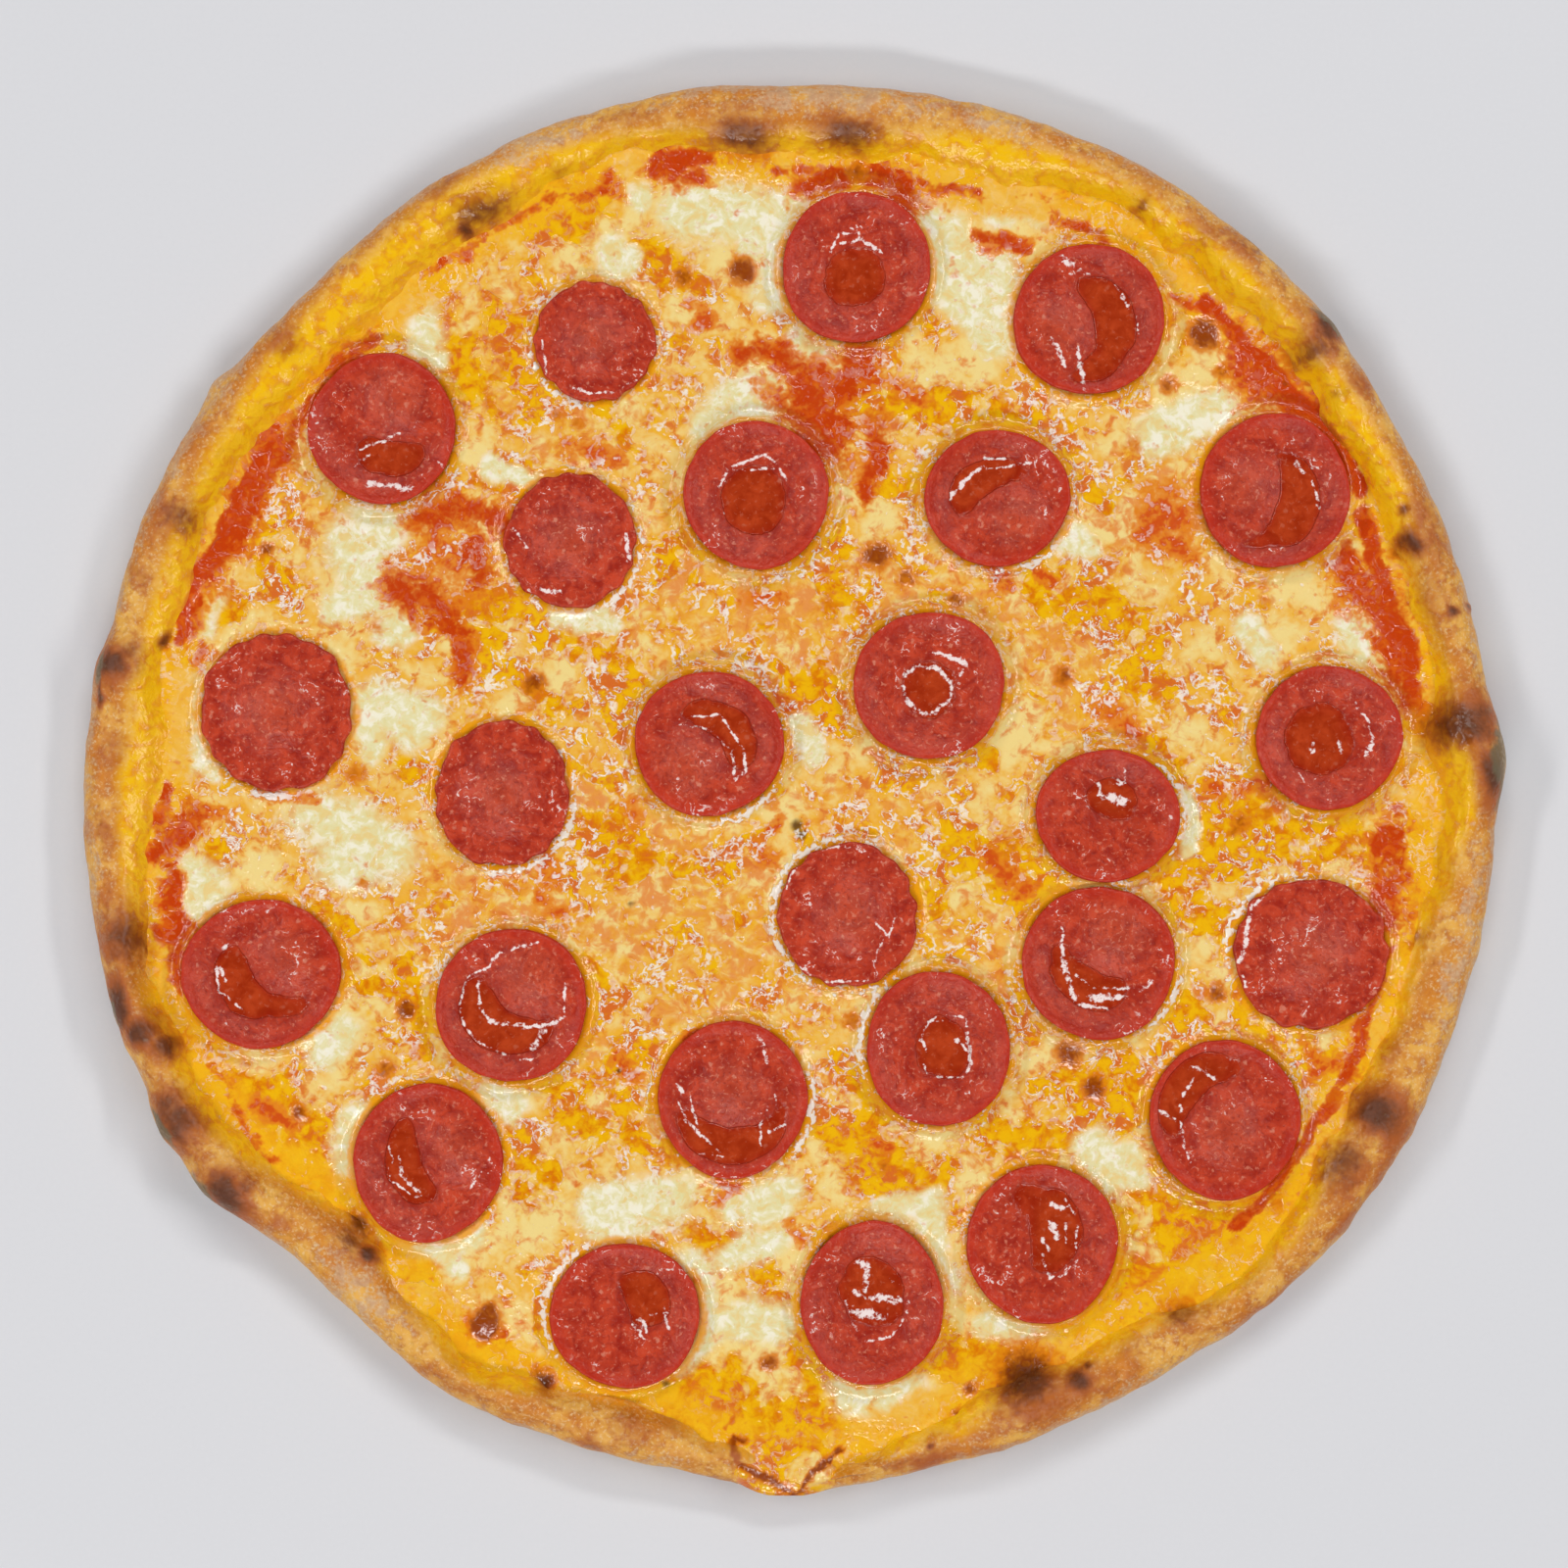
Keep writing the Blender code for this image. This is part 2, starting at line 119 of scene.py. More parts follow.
sky_direction = sky.nodes.new("ShaderNodeTexCoord").outputs["Generated"]
sky_parts = sky.nodes.new("ShaderNodeSeparateXYZ")
sky.links.new(sky_direction, sky_parts.inputs[0])
dim_overhead = sky.nodes.new("ShaderNodeMapRange")
fade = (SKY_FADE_FROM, SKY_FADE_TO, SKY_STRENGTH, SKY_DIM_STRENGTH)
for place, value in enumerate(fade, start=1):
    dim_overhead.inputs[place].default_value = value
sky.links.new(sky_parts.outputs["Z"], dim_overhead.inputs[0])
sky.nodes["Background"].inputs["Color"].default_value = SKY_COLOUR
sky.links.new(dim_overhead.outputs[0], sky.nodes["Background"].inputs["Strength"])
bpy.context.scene.world = surrounding
bpy.context.scene.view_settings.view_transform = "Standard"
print("lamps:", len(LAMPS))

# %% [markdown]
# ## Noise and brush strokes as arrays
# Baked food is uneven at every scale. Two helpers draw that: a cloud of layered random values, and
# brush strokes that say where a topping lies. A stroke runs between two points that were read off
# the picture in its pixels, and has a half width. The cloud bends the strokes, so their edges wander
# as melted cheese does.

# %% Layered noise
NOISE_TABLE = 256
OCTAVE_SHARE = 0.55


def value_noise(x, y, size, seed):
    """Random numbers from 0 to 1 on a square grid of that size, blended smoothly between its points."""
    table = np.random.default_rng(seed).random((NOISE_TABLE, NOISE_TABLE))
    column = np.floor(x / size).astype(int)
    row = np.floor(y / size).astype(int)
    s = x / size - column
    t = y / size - row
    s = s * s * (3.0 - 2.0 * s)
    t = t * t * (3.0 - 2.0 * t)
    left, right = column % NOISE_TABLE, (column + 1) % NOISE_TABLE
    low, high = row % NOISE_TABLE, (row + 1) % NOISE_TABLE
    below = table[low, left] * (1.0 - s) + table[low, right] * s
    above = table[high, left] * (1.0 - s) + table[high, right] * s
    return below * (1.0 - t) + above * t


def cloud(x, y, size, octaves, seed):
    """Fractal noise of about -1 to 1: each octave is half as large, OCTAVE_SHARE as strong, and turned."""
    total = 0.0
    weight = 0.0
    for octave in range(octaves):
        turn = 0.6 + 1.1 * octave
        u = x * math.cos(turn) - y * math.sin(turn)
        v = x * math.sin(turn) + y * math.cos(turn)
        share = OCTAVE_SHARE**octave
        total = total + share * (2.0 * value_noise(u, v, size / 2**octave, seed + octave) - 1.0)
        weight += share
    return 1.5 * total / weight


field = cloud(*np.meshgrid(np.arange(200.0), np.arange(200.0)), 12.0, 4, 1)
print("cloud spread:", round(float(field.std()), 2), "peak:", round(float(np.abs(field).max()), 2))

# %% Brush strokes and spots
# Size of a pixel of the picture on the pizza, and the pixel where the pizza's axis lies
MM_PER_PIXEL = 0.23
ORIGIN_PIXEL = (814.0, 806.0)


def ease(value, low, high):
    """A smooth step: 0 below low, 1 above high, and an S curve between."""
    t = np.clip((value - low) / (high - low), 0.0, 1.0)
    return t * t * (3.0 - 2.0 * t)


def from_photo(px, py):
    """Millimetres on the pizza for a pixel of the picture."""
    return (px - ORIGIN_PIXEL[0]) * MM_PER_PIXEL, (ORIGIN_PIXEL[1] - py) * MM_PER_PIXEL


def painted(x, y, strokes, softness=0.45):
    """How much of a topping lies at x, y: 1 inside a stroke, falling to 0 across its soft edge."""
    total = np.zeros_like(x)
    for x0, y0, x1, y1, half in strokes:
        ax, ay = from_photo(x0, y0)
        bx, by = from_photo(x1, y1)
        half = half * MM_PER_PIXEL
        length2 = (bx - ax) ** 2 + (by - ay) ** 2 + 1e-9
        along = np.clip(((x - ax) * (bx - ax) + (y - ay) * (by - ay)) / length2, 0.0, 1.0)
        away = np.hypot(x - ax - along * (bx - ax), y - ay - along * (by - ay))
        total = np.maximum(total, 1.0 - ease(away, half * (1.0 - softness), half * (1.0 + softness)))
    return total


def bent(x, y, amount, size, octaves, seed):
    """x and y moved by clouds of that amount in mm, so that a stroke read there has a wandering edge."""
    away = [amount * cloud(x, y, size, octaves, seed + more) for more in (0, 10)]
    return x + away[0], y + away[1]


def spotted(x, y, spots, grow=1.0):
    """Soft round spots: the strongest of bells of each radius and strength."""
    total = np.zeros_like(x)
    for px, py, radius, strength in spots:
        cx, cy = from_photo(px, py)
        reach = radius * MM_PER_PIXEL * grow
        total = np.maximum(total, strength * np.exp(-(((x - cx) ** 2 + (y - cy) ** 2) / reach**2) ** 1.5))
    return total


print("picture corner in mm:", [round(v, 1) for v in from_photo(0.0, 0.0)])

# %% [markdown]
# ## Outlines that the solids share
# The surfaces below must sit where the solids are. So the outline of the crust, the edge of the
# toppings and the swell of the cheese are worked out here with the same formulas as the solids: a
# smooth closed curve through radii every 15 degrees, with bells added at blisters.

# %% Radii round the pizza
OUTLINE_STEP_DEG = 15
CRUST_RADII = (
    163.5, 163.3, 163.8, 166.1, 167.0, 166.5, 165.6, 166.1, 165.6, 164.2, 165.8, 165.6, 167.2, 167.7,
    167.4, 160.8, 163.1, 161.7, 163.2, 161.7, 161.5, 164.0, 164.5, 164.0,
)
TOPPING_RADII = (
    150.0, 148.4, 150.7, 151.3, 152.7, 147.7, 147.2, 153.0, 150.0, 149.0, 150.7, 150.0, 149.0, 155.9,
    153.6, 143.8, 151.8, 147.7, 157.5, 147.7, 146.7, 151.8, 147.2, 147.2,
)
# Blisters on the rim: angle in degrees, push outwards, lift, half width in degrees
RIM_BLISTERS = (
    (2.5, 2.8, 2.6, 3.4), (42.0, 0.8, 1.0, 3.0), (84.0, 0.0, 0.8, 3.0), (120.0, 0.3, 1.0, 3.5),
    (145.0, 1.4, 0.5, 1.6), (170.0, 0.9, 1.5, 3.0), (199.0, 0.9, 1.6, 3.0), (208.0, 1.9, 1.4, 2.2),
    (214.0, 2.0, 1.4, 2.4), (292.0, 0.0, 1.3, 3.5), (331.0, 0.3, 1.2, 3.0),
)
BASE_THICKNESS = 4.0
RIM_HEIGHT = 13.4
RIM_BELLY_HEIGHT = 5.6
FOOT_HEIGHT = 7.6
SPILL_ANGLE_DEG = 269.0
SPILL_HALF_WIDTH_DEG = 4.0
SPILL_PUSH = 2.0
SPILL_DROP = 4.6
# The crest lies this far in from the outer radius, or this share of the rim's width if that is less
CREST_INSET = 8.6
CREST_SHARE = 0.55
# The swell of the cheese: waves, their length and height, and its rise over the last bit to the rim
SWELL_WAVES, SWELL_LENGTH, SWELL_HEIGHT = 9, 46.0, 0.45
EDGE_RISE, EDGE_RISE_WIDTH = 0.5, 16.0
CHEESE_TOP = 7.75
SAUCE_TOP = 5.7


def catmull_rom(before, start, end, after, t):
    """The cubic that runs from start to end as t goes from 0 to 1, smooth through both neighbours."""
    square = 2 * before - 5 * start + 4 * end - after
    cube = 3 * start - before - 3 * end + after
    return start + 0.5 * t * (end - before + t * (square + t * cube))


def smooth_ring(values, angle_deg):
    """A closed Catmull-Rom curve through values spaced evenly round the circle, read at angle_deg."""
    count = len(values)
    place = (np.asarray(angle_deg, float) / OUTLINE_STEP_DEG) % count
    index = np.floor(place).astype(int)
    near = (np.take(values, (index + k) % count) for k in (-1, 0, 1, 2))
    return catmull_rom(*near, place - index)


def angle_bump(angle_deg, centre_deg, half_width_deg):
    """A bell round the circle: 1 at centre_deg, about a third at half_width_deg from it."""
    away = (angle_deg - centre_deg + 180.0) % 360.0 - 180.0
    return np.exp(-((away / half_width_deg) ** 2))


def waves(x, y, wavelength, count, seed):
    """The mean of plane waves in seeded directions, scaled to about unit height."""
    random = np.random.default_rng(seed)
    total = np.zeros(np.broadcast(x, y).shape)
    for _ in range(count):
        heading, phase = random.uniform(0.0, 2.0 * math.pi, 2)
        length = wavelength * random.uniform(0.8, 1.6)
        along = x * math.cos(heading) + y * math.sin(heading)
        total = total + np.sin(2.0 * math.pi * along / length + phase)
    return total * math.sqrt(2.0 / count)


def crust_radius(angle_deg):
    """Outer radius of the crust: the smooth ring, pushed out at blisters and at the spill."""
    radius = smooth_ring(CRUST_RADII, angle_deg)
    for centre, push, _, half_width in RIM_BLISTERS:
        radius = radius + push * angle_bump(angle_deg, centre, half_width)
    return radius + SPILL_PUSH * angle_bump(angle_deg, SPILL_ANGLE_DEG, SPILL_HALF_WIDTH_DEG)


def crest_radius(radius, edge):
    """Radius of the crest of a rim that runs from edge out to radius."""
    return radius - np.minimum(CREST_INSET, CREST_SHARE * (radius - edge))


def crest_height(angle_deg):
    """Height of the rim's crest: two slow swings, lifted at blisters and pressed down at the spill."""
    turn = np.radians(angle_deg)
    height = RIM_HEIGHT + 0.66 * np.sin(2 * turn + 0.7) + 0.44 * np.sin(7 * turn + 2.1)
    for centre, _, lift, half_width in RIM_BLISTERS:
        height = height + lift * angle_bump(angle_deg, centre, half_width)
    return height - SPILL_DROP * angle_bump(angle_deg, SPILL_ANGLE_DEG, SPILL_HALF_WIDTH_DEG)


def cheese_swell(x, y):
    """Top of the cheese in the solids: a low swell everywhere, and a gentle rise towards the rim."""
    edge = smooth_ring(TOPPING_RADII, np.degrees(np.arctan2(y, x)))
    near_rim = np.clip(1.0 - (edge - np.hypot(x, y)) / EDGE_RISE_WIDTH, 0.0, 1.0)
    swell = SWELL_HEIGHT * waves(x, y, SWELL_LENGTH, SWELL_WAVES, seed=5)
    return CHEESE_TOP + swell + EDGE_RISE * near_rim**2


print("crust radius round the circle:", crust_radius(np.array([0.0, 90.0, 180.0, 270.0])).round(1))

# %% [markdown]
# ## From arrays to a mesh
# Every surface here is a grid of points. Two kinds are enough. A stack of rings round an axis, closed
# by a point at each end, makes the crust and the slices. A square grid pressed into a disc, with a
# wall down its edge, makes the cheese and the sauce. Values such as how much char lies on a point are
# kept as attributes, and the finishes read them.

# %% Faces for both kinds of grid


def ring_faces(rings, around):
    """Quads between neighbouring rings, and a fan to a first and a last point that close the ends."""
    i, j = np.meshgrid(np.arange(rings - 1), np.arange(around), indexing="ij")
    k = (j + 1) % around
    quads = np.stack((i * around + j, i * around + k, (i + 1) * around + k, (i + 1) * around + j), axis=-1)
    j = np.arange(around)
    k = (j + 1) % around
    start, end = rings * around, rings * around + 1
    last = (rings - 1) * around
    first_fan = np.stack((np.full(around, start), k, j), axis=-1)
    last_fan = np.stack((np.full(around, end), last + j, last + k), axis=-1)
    return quads.reshape(-1, 4), np.concatenate((first_fan, last_fan))


def disc_faces(side):
    """Quads of a square grid that faces up, its wall down to a second border, and a fan below."""
    i, j = np.meshgrid(np.arange(side - 1), np.arange(side - 1), indexing="ij")
    here = i * side + j
    top = np.stack((here, here + 1, here + side + 1, here + side), axis=-1).reshape(-1, 4)
    border = disc_border(side)
    count = len(border)
    low = side * side + np.arange(count)
    following = np.roll(low, -1)
    wall = np.stack((low, following, np.roll(border, -1), border), axis=-1)
    fan = np.stack((np.full(count, side * side + count), following, low), axis=-1)
    return np.concatenate((top, wall)), fan


def disc_border(side):
    """Indices round the edge of a square grid, counterclockwise from its lower left corner."""
    run = np.arange(side - 1)
    right = run * side + side - 1
    return np.concatenate((run, right, side * side - 1 - run, (side - 1 - run) * side))


def new_piece(name, points, quads, triangles, finish, attributes):
    """A smooth-shaded mesh from points in mm, with a float attribute for each named array."""
    mesh = bpy.data.meshes.new(name)
    mesh.from_pydata((points * MM).tolist(), [], quads.tolist() + triangles.tolist())
    for label, values in attributes.items():
        layer = mesh.attributes.new(label, "FLOAT", "POINT")
        layer.data.foreach_set("value", np.ascontiguousarray(values, dtype=np.float32).ravel())
    mesh.materials.append(finish)
    mesh.shade_smooth()
    piece = bpy.data.objects.new(name, mesh)
    bpy.context.scene.collection.objects.link(piece)
    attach(piece, "root")
    return piece


def lofted(name, rings, start, end, finish, attributes):
    """A piece from rings of points, an array of ring by angle by 3, and its two end points."""
    quads, fans = ring_faces(*rings.shape[:2])
    points = np.concatenate((rings.reshape(-1, 3), [start], [end]))
    filled = {}
    for label, values in attributes.items():
        ends = (values[0].mean(), values[-1].mean())
        filled[label] = np.concatenate((values.ravel(), ends))
    return new_piece(name, points, quads, fans, finish, filled)


def disc_grid(side):
    """A square grid pressed into a unit disc: each side bows out to a quarter of the circle."""
    u, v = np.meshgrid(np.linspace(-1.0, 1.0, side), np.linspace(-1.0, 1.0, side))
    return u * np.sqrt(1.0 - v**2 / 2.0), v * np.sqrt(1.0 - u**2 / 2.0)


def spread(name, x, y, z, floor, finish, attributes):
    """A piece from a square grid of points, walled down to the height floor and closed below."""
    side = x.shape[0]
    border = disc_border(side)
    top = np.stack((x, y, z), axis=-1).reshape(-1, 3)
    low = top[border].copy()
    low[:, 2] = floor
    middle = np.array([[0.0, 0.0, floor]])
    quads, fan = disc_faces(side)
    filled = {}
    for label, values in attributes.items():
        values = values.ravel()
        filled[label] = np.concatenate((values, values[border], [values.mean()]))
    return new_piece(name, np.concatenate((top, low, middle)), quads, fan, finish, filled)


print("faces in a small disc:", len(disc_faces(5)[0]), "and its fan:", len(disc_faces(5)[1]))

# %% [markdown]
# ## Colours and nodes
# Colours are written as sRGB hex, the way a colour picker shows them, and turned to the linear values
# that the shader needs. One function adds a node to the finish that is open: it sets the node's
# properties, fills or links its inputs, and gives back the output that the next node uses. The short
# functions after it name what one or two nodes work out.

# %% Colour and node helpers


def linear(hex_colour):
    """Linear RGBA of an sRGB hex colour: the sRGB curve undone for each channel."""
    channels = [int(hex_colour[k:k + 2], 16) / 255.0 for k in (1, 3, 5)]
    return (*[c / 12.92 if c <= 0.04045 else ((c + 0.055) / 1.055) ** 2.4 for c in channels], 1.0)


NOISE, MATH, MIX, RANGE = "ShaderNodeTexNoise", "ShaderNodeMath", "ShaderNodeMix", "ShaderNodeMapRange"
VALUE, CELLS, BUMP = "ShaderNodeAttribute", "ShaderNodeTexVoronoi", "ShaderNodeBump"
SHADER, OUTPUT = "ShaderNodeBsdfPrincipled", "ShaderNodeOutputMaterial"


def new_finish(name):
    """An empty material, its node tree and the Object coordinates, in metres."""
    finish = bpy.data.materials.new(name)
    finish.use_nodes = True
    tree = finish.node_tree
    tree.nodes.clear()
    return finish, tree, tree.nodes.new("ShaderNodeTexCoord").outputs["Object"]


def add_node(kind, inputs, out=0, **settings):
    """Adds a node to the open tree, fills or links its inputs, and returns one of its outputs."""
    node = tree.nodes.new(kind)
    for name, value in settings.items():
        setattr(node, name, value)
    for place, value in inputs.items():
        if isinstance(value, bpy.types.NodeSocket):
            tree.links.new(value, node.inputs[place])
        else:
            node.inputs[place].default_value = value
    return node.outputs[out]


def read_marks(*names):
    """The outputs that read these attributes of the mesh, by name."""
    return {name: add_node(VALUE, {}, out=2, attribute_name=name) for name in names}


def noise(scale, detail, roughness=0.5, distortion=0.0):
    """Layered noise over the Object coordinates: scale is one over the size of its lumps in metres."""
    inputs = {"Vector": here, "Scale": scale, "Detail": detail}
    return add_node(NOISE, {**inputs, "Roughness": roughness, "Distortion": distortion})


def cells(scale):
    """Distance from the nearest of points strewn one over scale metres apart."""
    return add_node(CELLS, {"Vector": here, "Scale": scale, "Randomness": 1.0})


def scaled(value, gain, plus):
    """value * gain + plus"""
    return add_node(MATH, {0: value, 1: gain, 2: plus}, operation="MULTIPLY_ADD")


def times(value, gain):
    """value * gain"""
    return add_node(MATH, {0: value, 1: gain}, operation="MULTIPLY")


def minus(value, less):
    """value - less"""
    return add_node(MATH, {0: value, 1: less}, operation="SUBTRACT")


def most(value, other):
    """The larger of value and other."""
    return add_node(MATH, {0: value, 1: other}, operation="MAXIMUM")


def dimmed(value, by, share):
    """value * (1 - share * by)"""
    return times(value, scaled(by, -share, 1.0))


def ramp(value, low, high, bottom=0.0, top=1.0):
    """A straight ramp: bottom where value is low, top where it is high."""
    return add_node(RANGE, {0: value, 1: low, 2: high, 3: bottom, 4: top})


def soft_step(value, low, high, top=1.0):
    """A smooth step: 0 where value is low, top where it is high. Low may be above high."""
    return add_node(RANGE, {0: value, 1: low, 2: high, 4: top}, interpolation_type="SMOOTHSTEP")


def ragged_step(value, by, gain, low, high, top=1.0):
    """A smooth step of value + gain * by, where by is a noise that makes the edge ragged."""
    return soft_step(scaled(by, gain, value), low, high, top)


def line_at(value, level, wide, narrow, top=1.0):
    """A thin line where value is level: top while it is within narrow of it, 0 from wide on."""
    away = add_node(MATH, {0: minus(value, level)}, operation="ABSOLUTE")
    return soft_step(away, wide, narrow, top)


def mixed(share, under, over):
    """The colour over laid on the colour under by that share. A colour is hex or an output."""
    under, over = (linear(c) if isinstance(c, str) else c for c in (under, over))
    return add_node(MIX, {0: share, 6: under, 7: over}, out=2, data_type="RGBA")


def close_finish(colour, gloss, relief, depth, ior):
    """Ends a finish with its surface: colour, roughness, IOR and a bump of that depth in metres."""
    normal = add_node(BUMP, {"Height": relief, "Distance": depth, "Strength": 1.0})
    surface = add_node(SHADER, {"Base Color": colour, "Roughness": gloss, "Normal": normal, "IOR": ior})
    tree.links.new(surface, tree.nodes.new(OUTPUT).inputs["Surface"])


print("white:", linear("#ffffff")[:3])

# %% [markdown]
# ## Floor
# The pizza is shown on a plain pale floor, a matt sheet such as seamless paper. Very faint grain keeps
# it from looking like a flat fill.

# %% Matt paper floor
finish, tree, here = new_finish("matt paper")
grain = noise(900.0, 2.0)
tone = mixed(grain, "#dcdcdf", "#dfdfe2")
surface = add_node(SHADER, {"Base Color": tone, "Roughness": 0.9, "Specular IOR Level": 0.2})
tree.links.new(surface, tree.nodes.new(OUTPUT).inputs["Surface"])
FLOOR_HALF = 3.0
FLOOR_GAP = 0.0001
floor_mesh = bpy.data.meshes.new("floor")
corners = [(-FLOOR_HALF, -FLOOR_HALF, 0.0), (FLOOR_HALF, -FLOOR_HALF, 0.0)]
corners += [(FLOOR_HALF, FLOOR_HALF, 0.0), (-FLOOR_HALF, FLOOR_HALF, 0.0)]
floor_mesh.from_pydata(corners, [], [(0, 1, 2, 3)])
floor_mesh.materials.append(finish)
floor = bpy.data.objects.new("floor", floor_mesh)
floor.location = (0.0, 0.0, cad_low.z - FLOOR_GAP)
bpy.context.scene.collection.objects.link(floor)
print("floor at mm:", round(floor.location.z / MM, 2))

# %% [markdown]
# ## Where the toppings lie
# These strokes are the map of the pizza. Each row is a stroke from one point to another, with a half
# width, all in pixels of the picture. Mozzarella lies in pale patches, sauce shows red where the
# cheese is missing, oil stands amber between the curds, and brown spots are blisters in the cheese.

# %% Mozzarella patches
MOZZARELLA = (
    (705, 215, 790, 220, 34), (775, 250, 785, 300, 22), (622, 255, 622, 280, 18),
    (640, 262, 640, 280, 12), (955, 225, 985, 300, 30), (985, 300, 1015, 345, 26),
    (1010, 260, 1030, 300, 20), (745, 415, 775, 405, 32), (720, 430, 745, 430, 18),
    (812, 348, 845, 372, 14), (192, 700, 192, 770, 20), (205, 780, 215, 785, 12),
    (360, 560, 385, 600, 32), (350, 620, 400, 600, 20), (380, 530, 400, 545, 22),
    (400, 640, 410, 650, 16), (385, 720, 425, 735, 26), (375, 750, 380, 760, 16),
    (325, 830, 360, 850, 34), (375, 860, 400, 870, 30), (340, 880, 360, 890, 20),
    (180, 885, 215, 905, 24), (195, 915, 205, 930, 14), (330, 1065, 355, 1055, 22),
    (362, 1140, 358, 1190, 18), (430, 1262, 480, 1255, 20), (455, 1280, 465, 1290, 10),
    (505, 1120, 525, 1135, 16), (620, 1235, 685, 1220, 30), (750, 1235, 800, 1215, 18),
    (770, 1240, 790, 1235, 14), (705, 1290, 725, 1340, 18), (740, 1280, 790, 1270, 16),
    (750, 1345, 785, 1350, 24), (700, 1390, 720, 1360, 14), (950, 1230, 960, 1300, 20),
    (900, 1235, 950, 1225, 14), (1010, 1350, 1060, 1360, 16), (1115, 1170, 1140, 1200, 22),
    (1150, 1180, 1160, 1200, 14), (870, 1420, 925, 1425, 26), (1180, 440, 1240, 420, 26),
    (1275, 640, 1290, 665, 16), (1380, 640, 1400, 665, 20), (1015, 205, 1025, 225, 16),
    (1045, 195, 1060, 215, 20), (645, 165, 650, 200, 16), (425, 320, 440, 345, 16),
    (425, 355, 450, 365, 10), (1258, 330, 1262, 370, 8), (215, 600, 210, 640, 14),
    (1210, 810, 1212, 870, 8), (1085, 550, 1105, 560, 14), (815, 740, 830, 770, 14),
    (565, 630, 620, 635, 12), (500, 475, 560, 490, 10),
)

# %% Bare tomato sauce
BARE_SAUCE = (
    (755, 362, 795, 355, 9), (800, 365, 830, 400, 16), (825, 400, 835, 445, 27), (855, 395, 875, 375, 18),
    (860, 430, 845, 450, 14), (895, 435, 898, 470, 12), (895, 470, 880, 502, 9), (430, 535, 460, 515, 14),
    (480, 525, 510, 530, 14), (410, 605, 440, 620, 16), (445, 620, 465, 645, 12), (465, 650, 468, 690, 9),
    (490, 560, 495, 590, 12), (675, 165, 690, 180, 12), (690, 180, 715, 182, 8), (815, 190, 860, 185, 9),
    (905, 185, 925, 205, 18), (1262, 340, 1280, 385, 12), (1280, 375, 1310, 400, 22),
    (1300, 405, 1340, 430, 20), (1340, 425, 1360, 445, 10), (1375, 575, 1385, 600, 16),
    (1385, 595, 1420, 620, 20), (1415, 630, 1425, 680, 13), (1425, 690, 1440, 718, 13),
    (1410, 850, 1415, 880, 10), (1412, 890, 1415, 930, 14), (275, 450, 270, 480, 20),
    (262, 490, 240, 540, 14), (235, 550, 215, 580, 12), (205, 590, 200, 640, 8), (180, 850, 200, 835, 12),
    (165, 870, 185, 850, 10), (180, 945, 182, 990, 10),
)

# %% Red and orange stains where the sauce shows through thin cheese
STAINS = (
    (930, 190, 1000, 202, 6), (1200, 310, 1250, 310, 6), (1365, 600, 1362, 620, 6),
    (1395, 1000, 1385, 1050, 8), (1385, 1060, 1365, 1085, 9), (1345, 1095, 1365, 1085, 7),
    (215, 668, 235, 672, 8), (210, 825, 240, 830, 8), (265, 805, 330, 812, 8), (165, 900, 178, 945, 7),
    (575, 455, 635, 462, 8), (600, 470, 640, 470, 5), (735, 1205, 748, 1210, 8),
    (745, 1215, 735, 1230, 6), (1130, 720, 1155, 745, 16), (1190, 545, 1215, 565, 12),
    (1010, 250, 1045, 252, 8), (470, 266, 478, 262, 8), (765, 870, 785, 880, 10), (560, 925, 575, 935, 8),
    (545, 905, 560, 915, 6), (800, 1255, 815, 1270, 8), (895, 1160, 905, 1165, 10),
    (270, 1130, 300, 1150, 12), (765, 610, 800, 615, 10), (1065, 585, 1085, 595, 6),
    (1010, 590, 1030, 600, 12), (330, 385, 345, 370, 12), (280, 425, 320, 430, 8),
    (455, 570, 470, 580, 34), (1180, 540, 1190, 530, 36), (1330, 1060, 1350, 1080, 9),
    (640, 820, 650, 840, 10), (700, 310, 720, 330, 10), (880, 380, 940, 400, 12),
    (560, 880, 565, 900, 14), (1010, 880, 1040, 900, 14), (700, 1060, 720, 1050, 8),
    (950, 640, 980, 640, 8), (620, 180, 630, 200, 8), (780, 690, 800, 720, 10),
    (1240, 800, 1290, 805, 10), (800, 840, 790, 850, 8), (640, 1080, 650, 1100, 10),
)

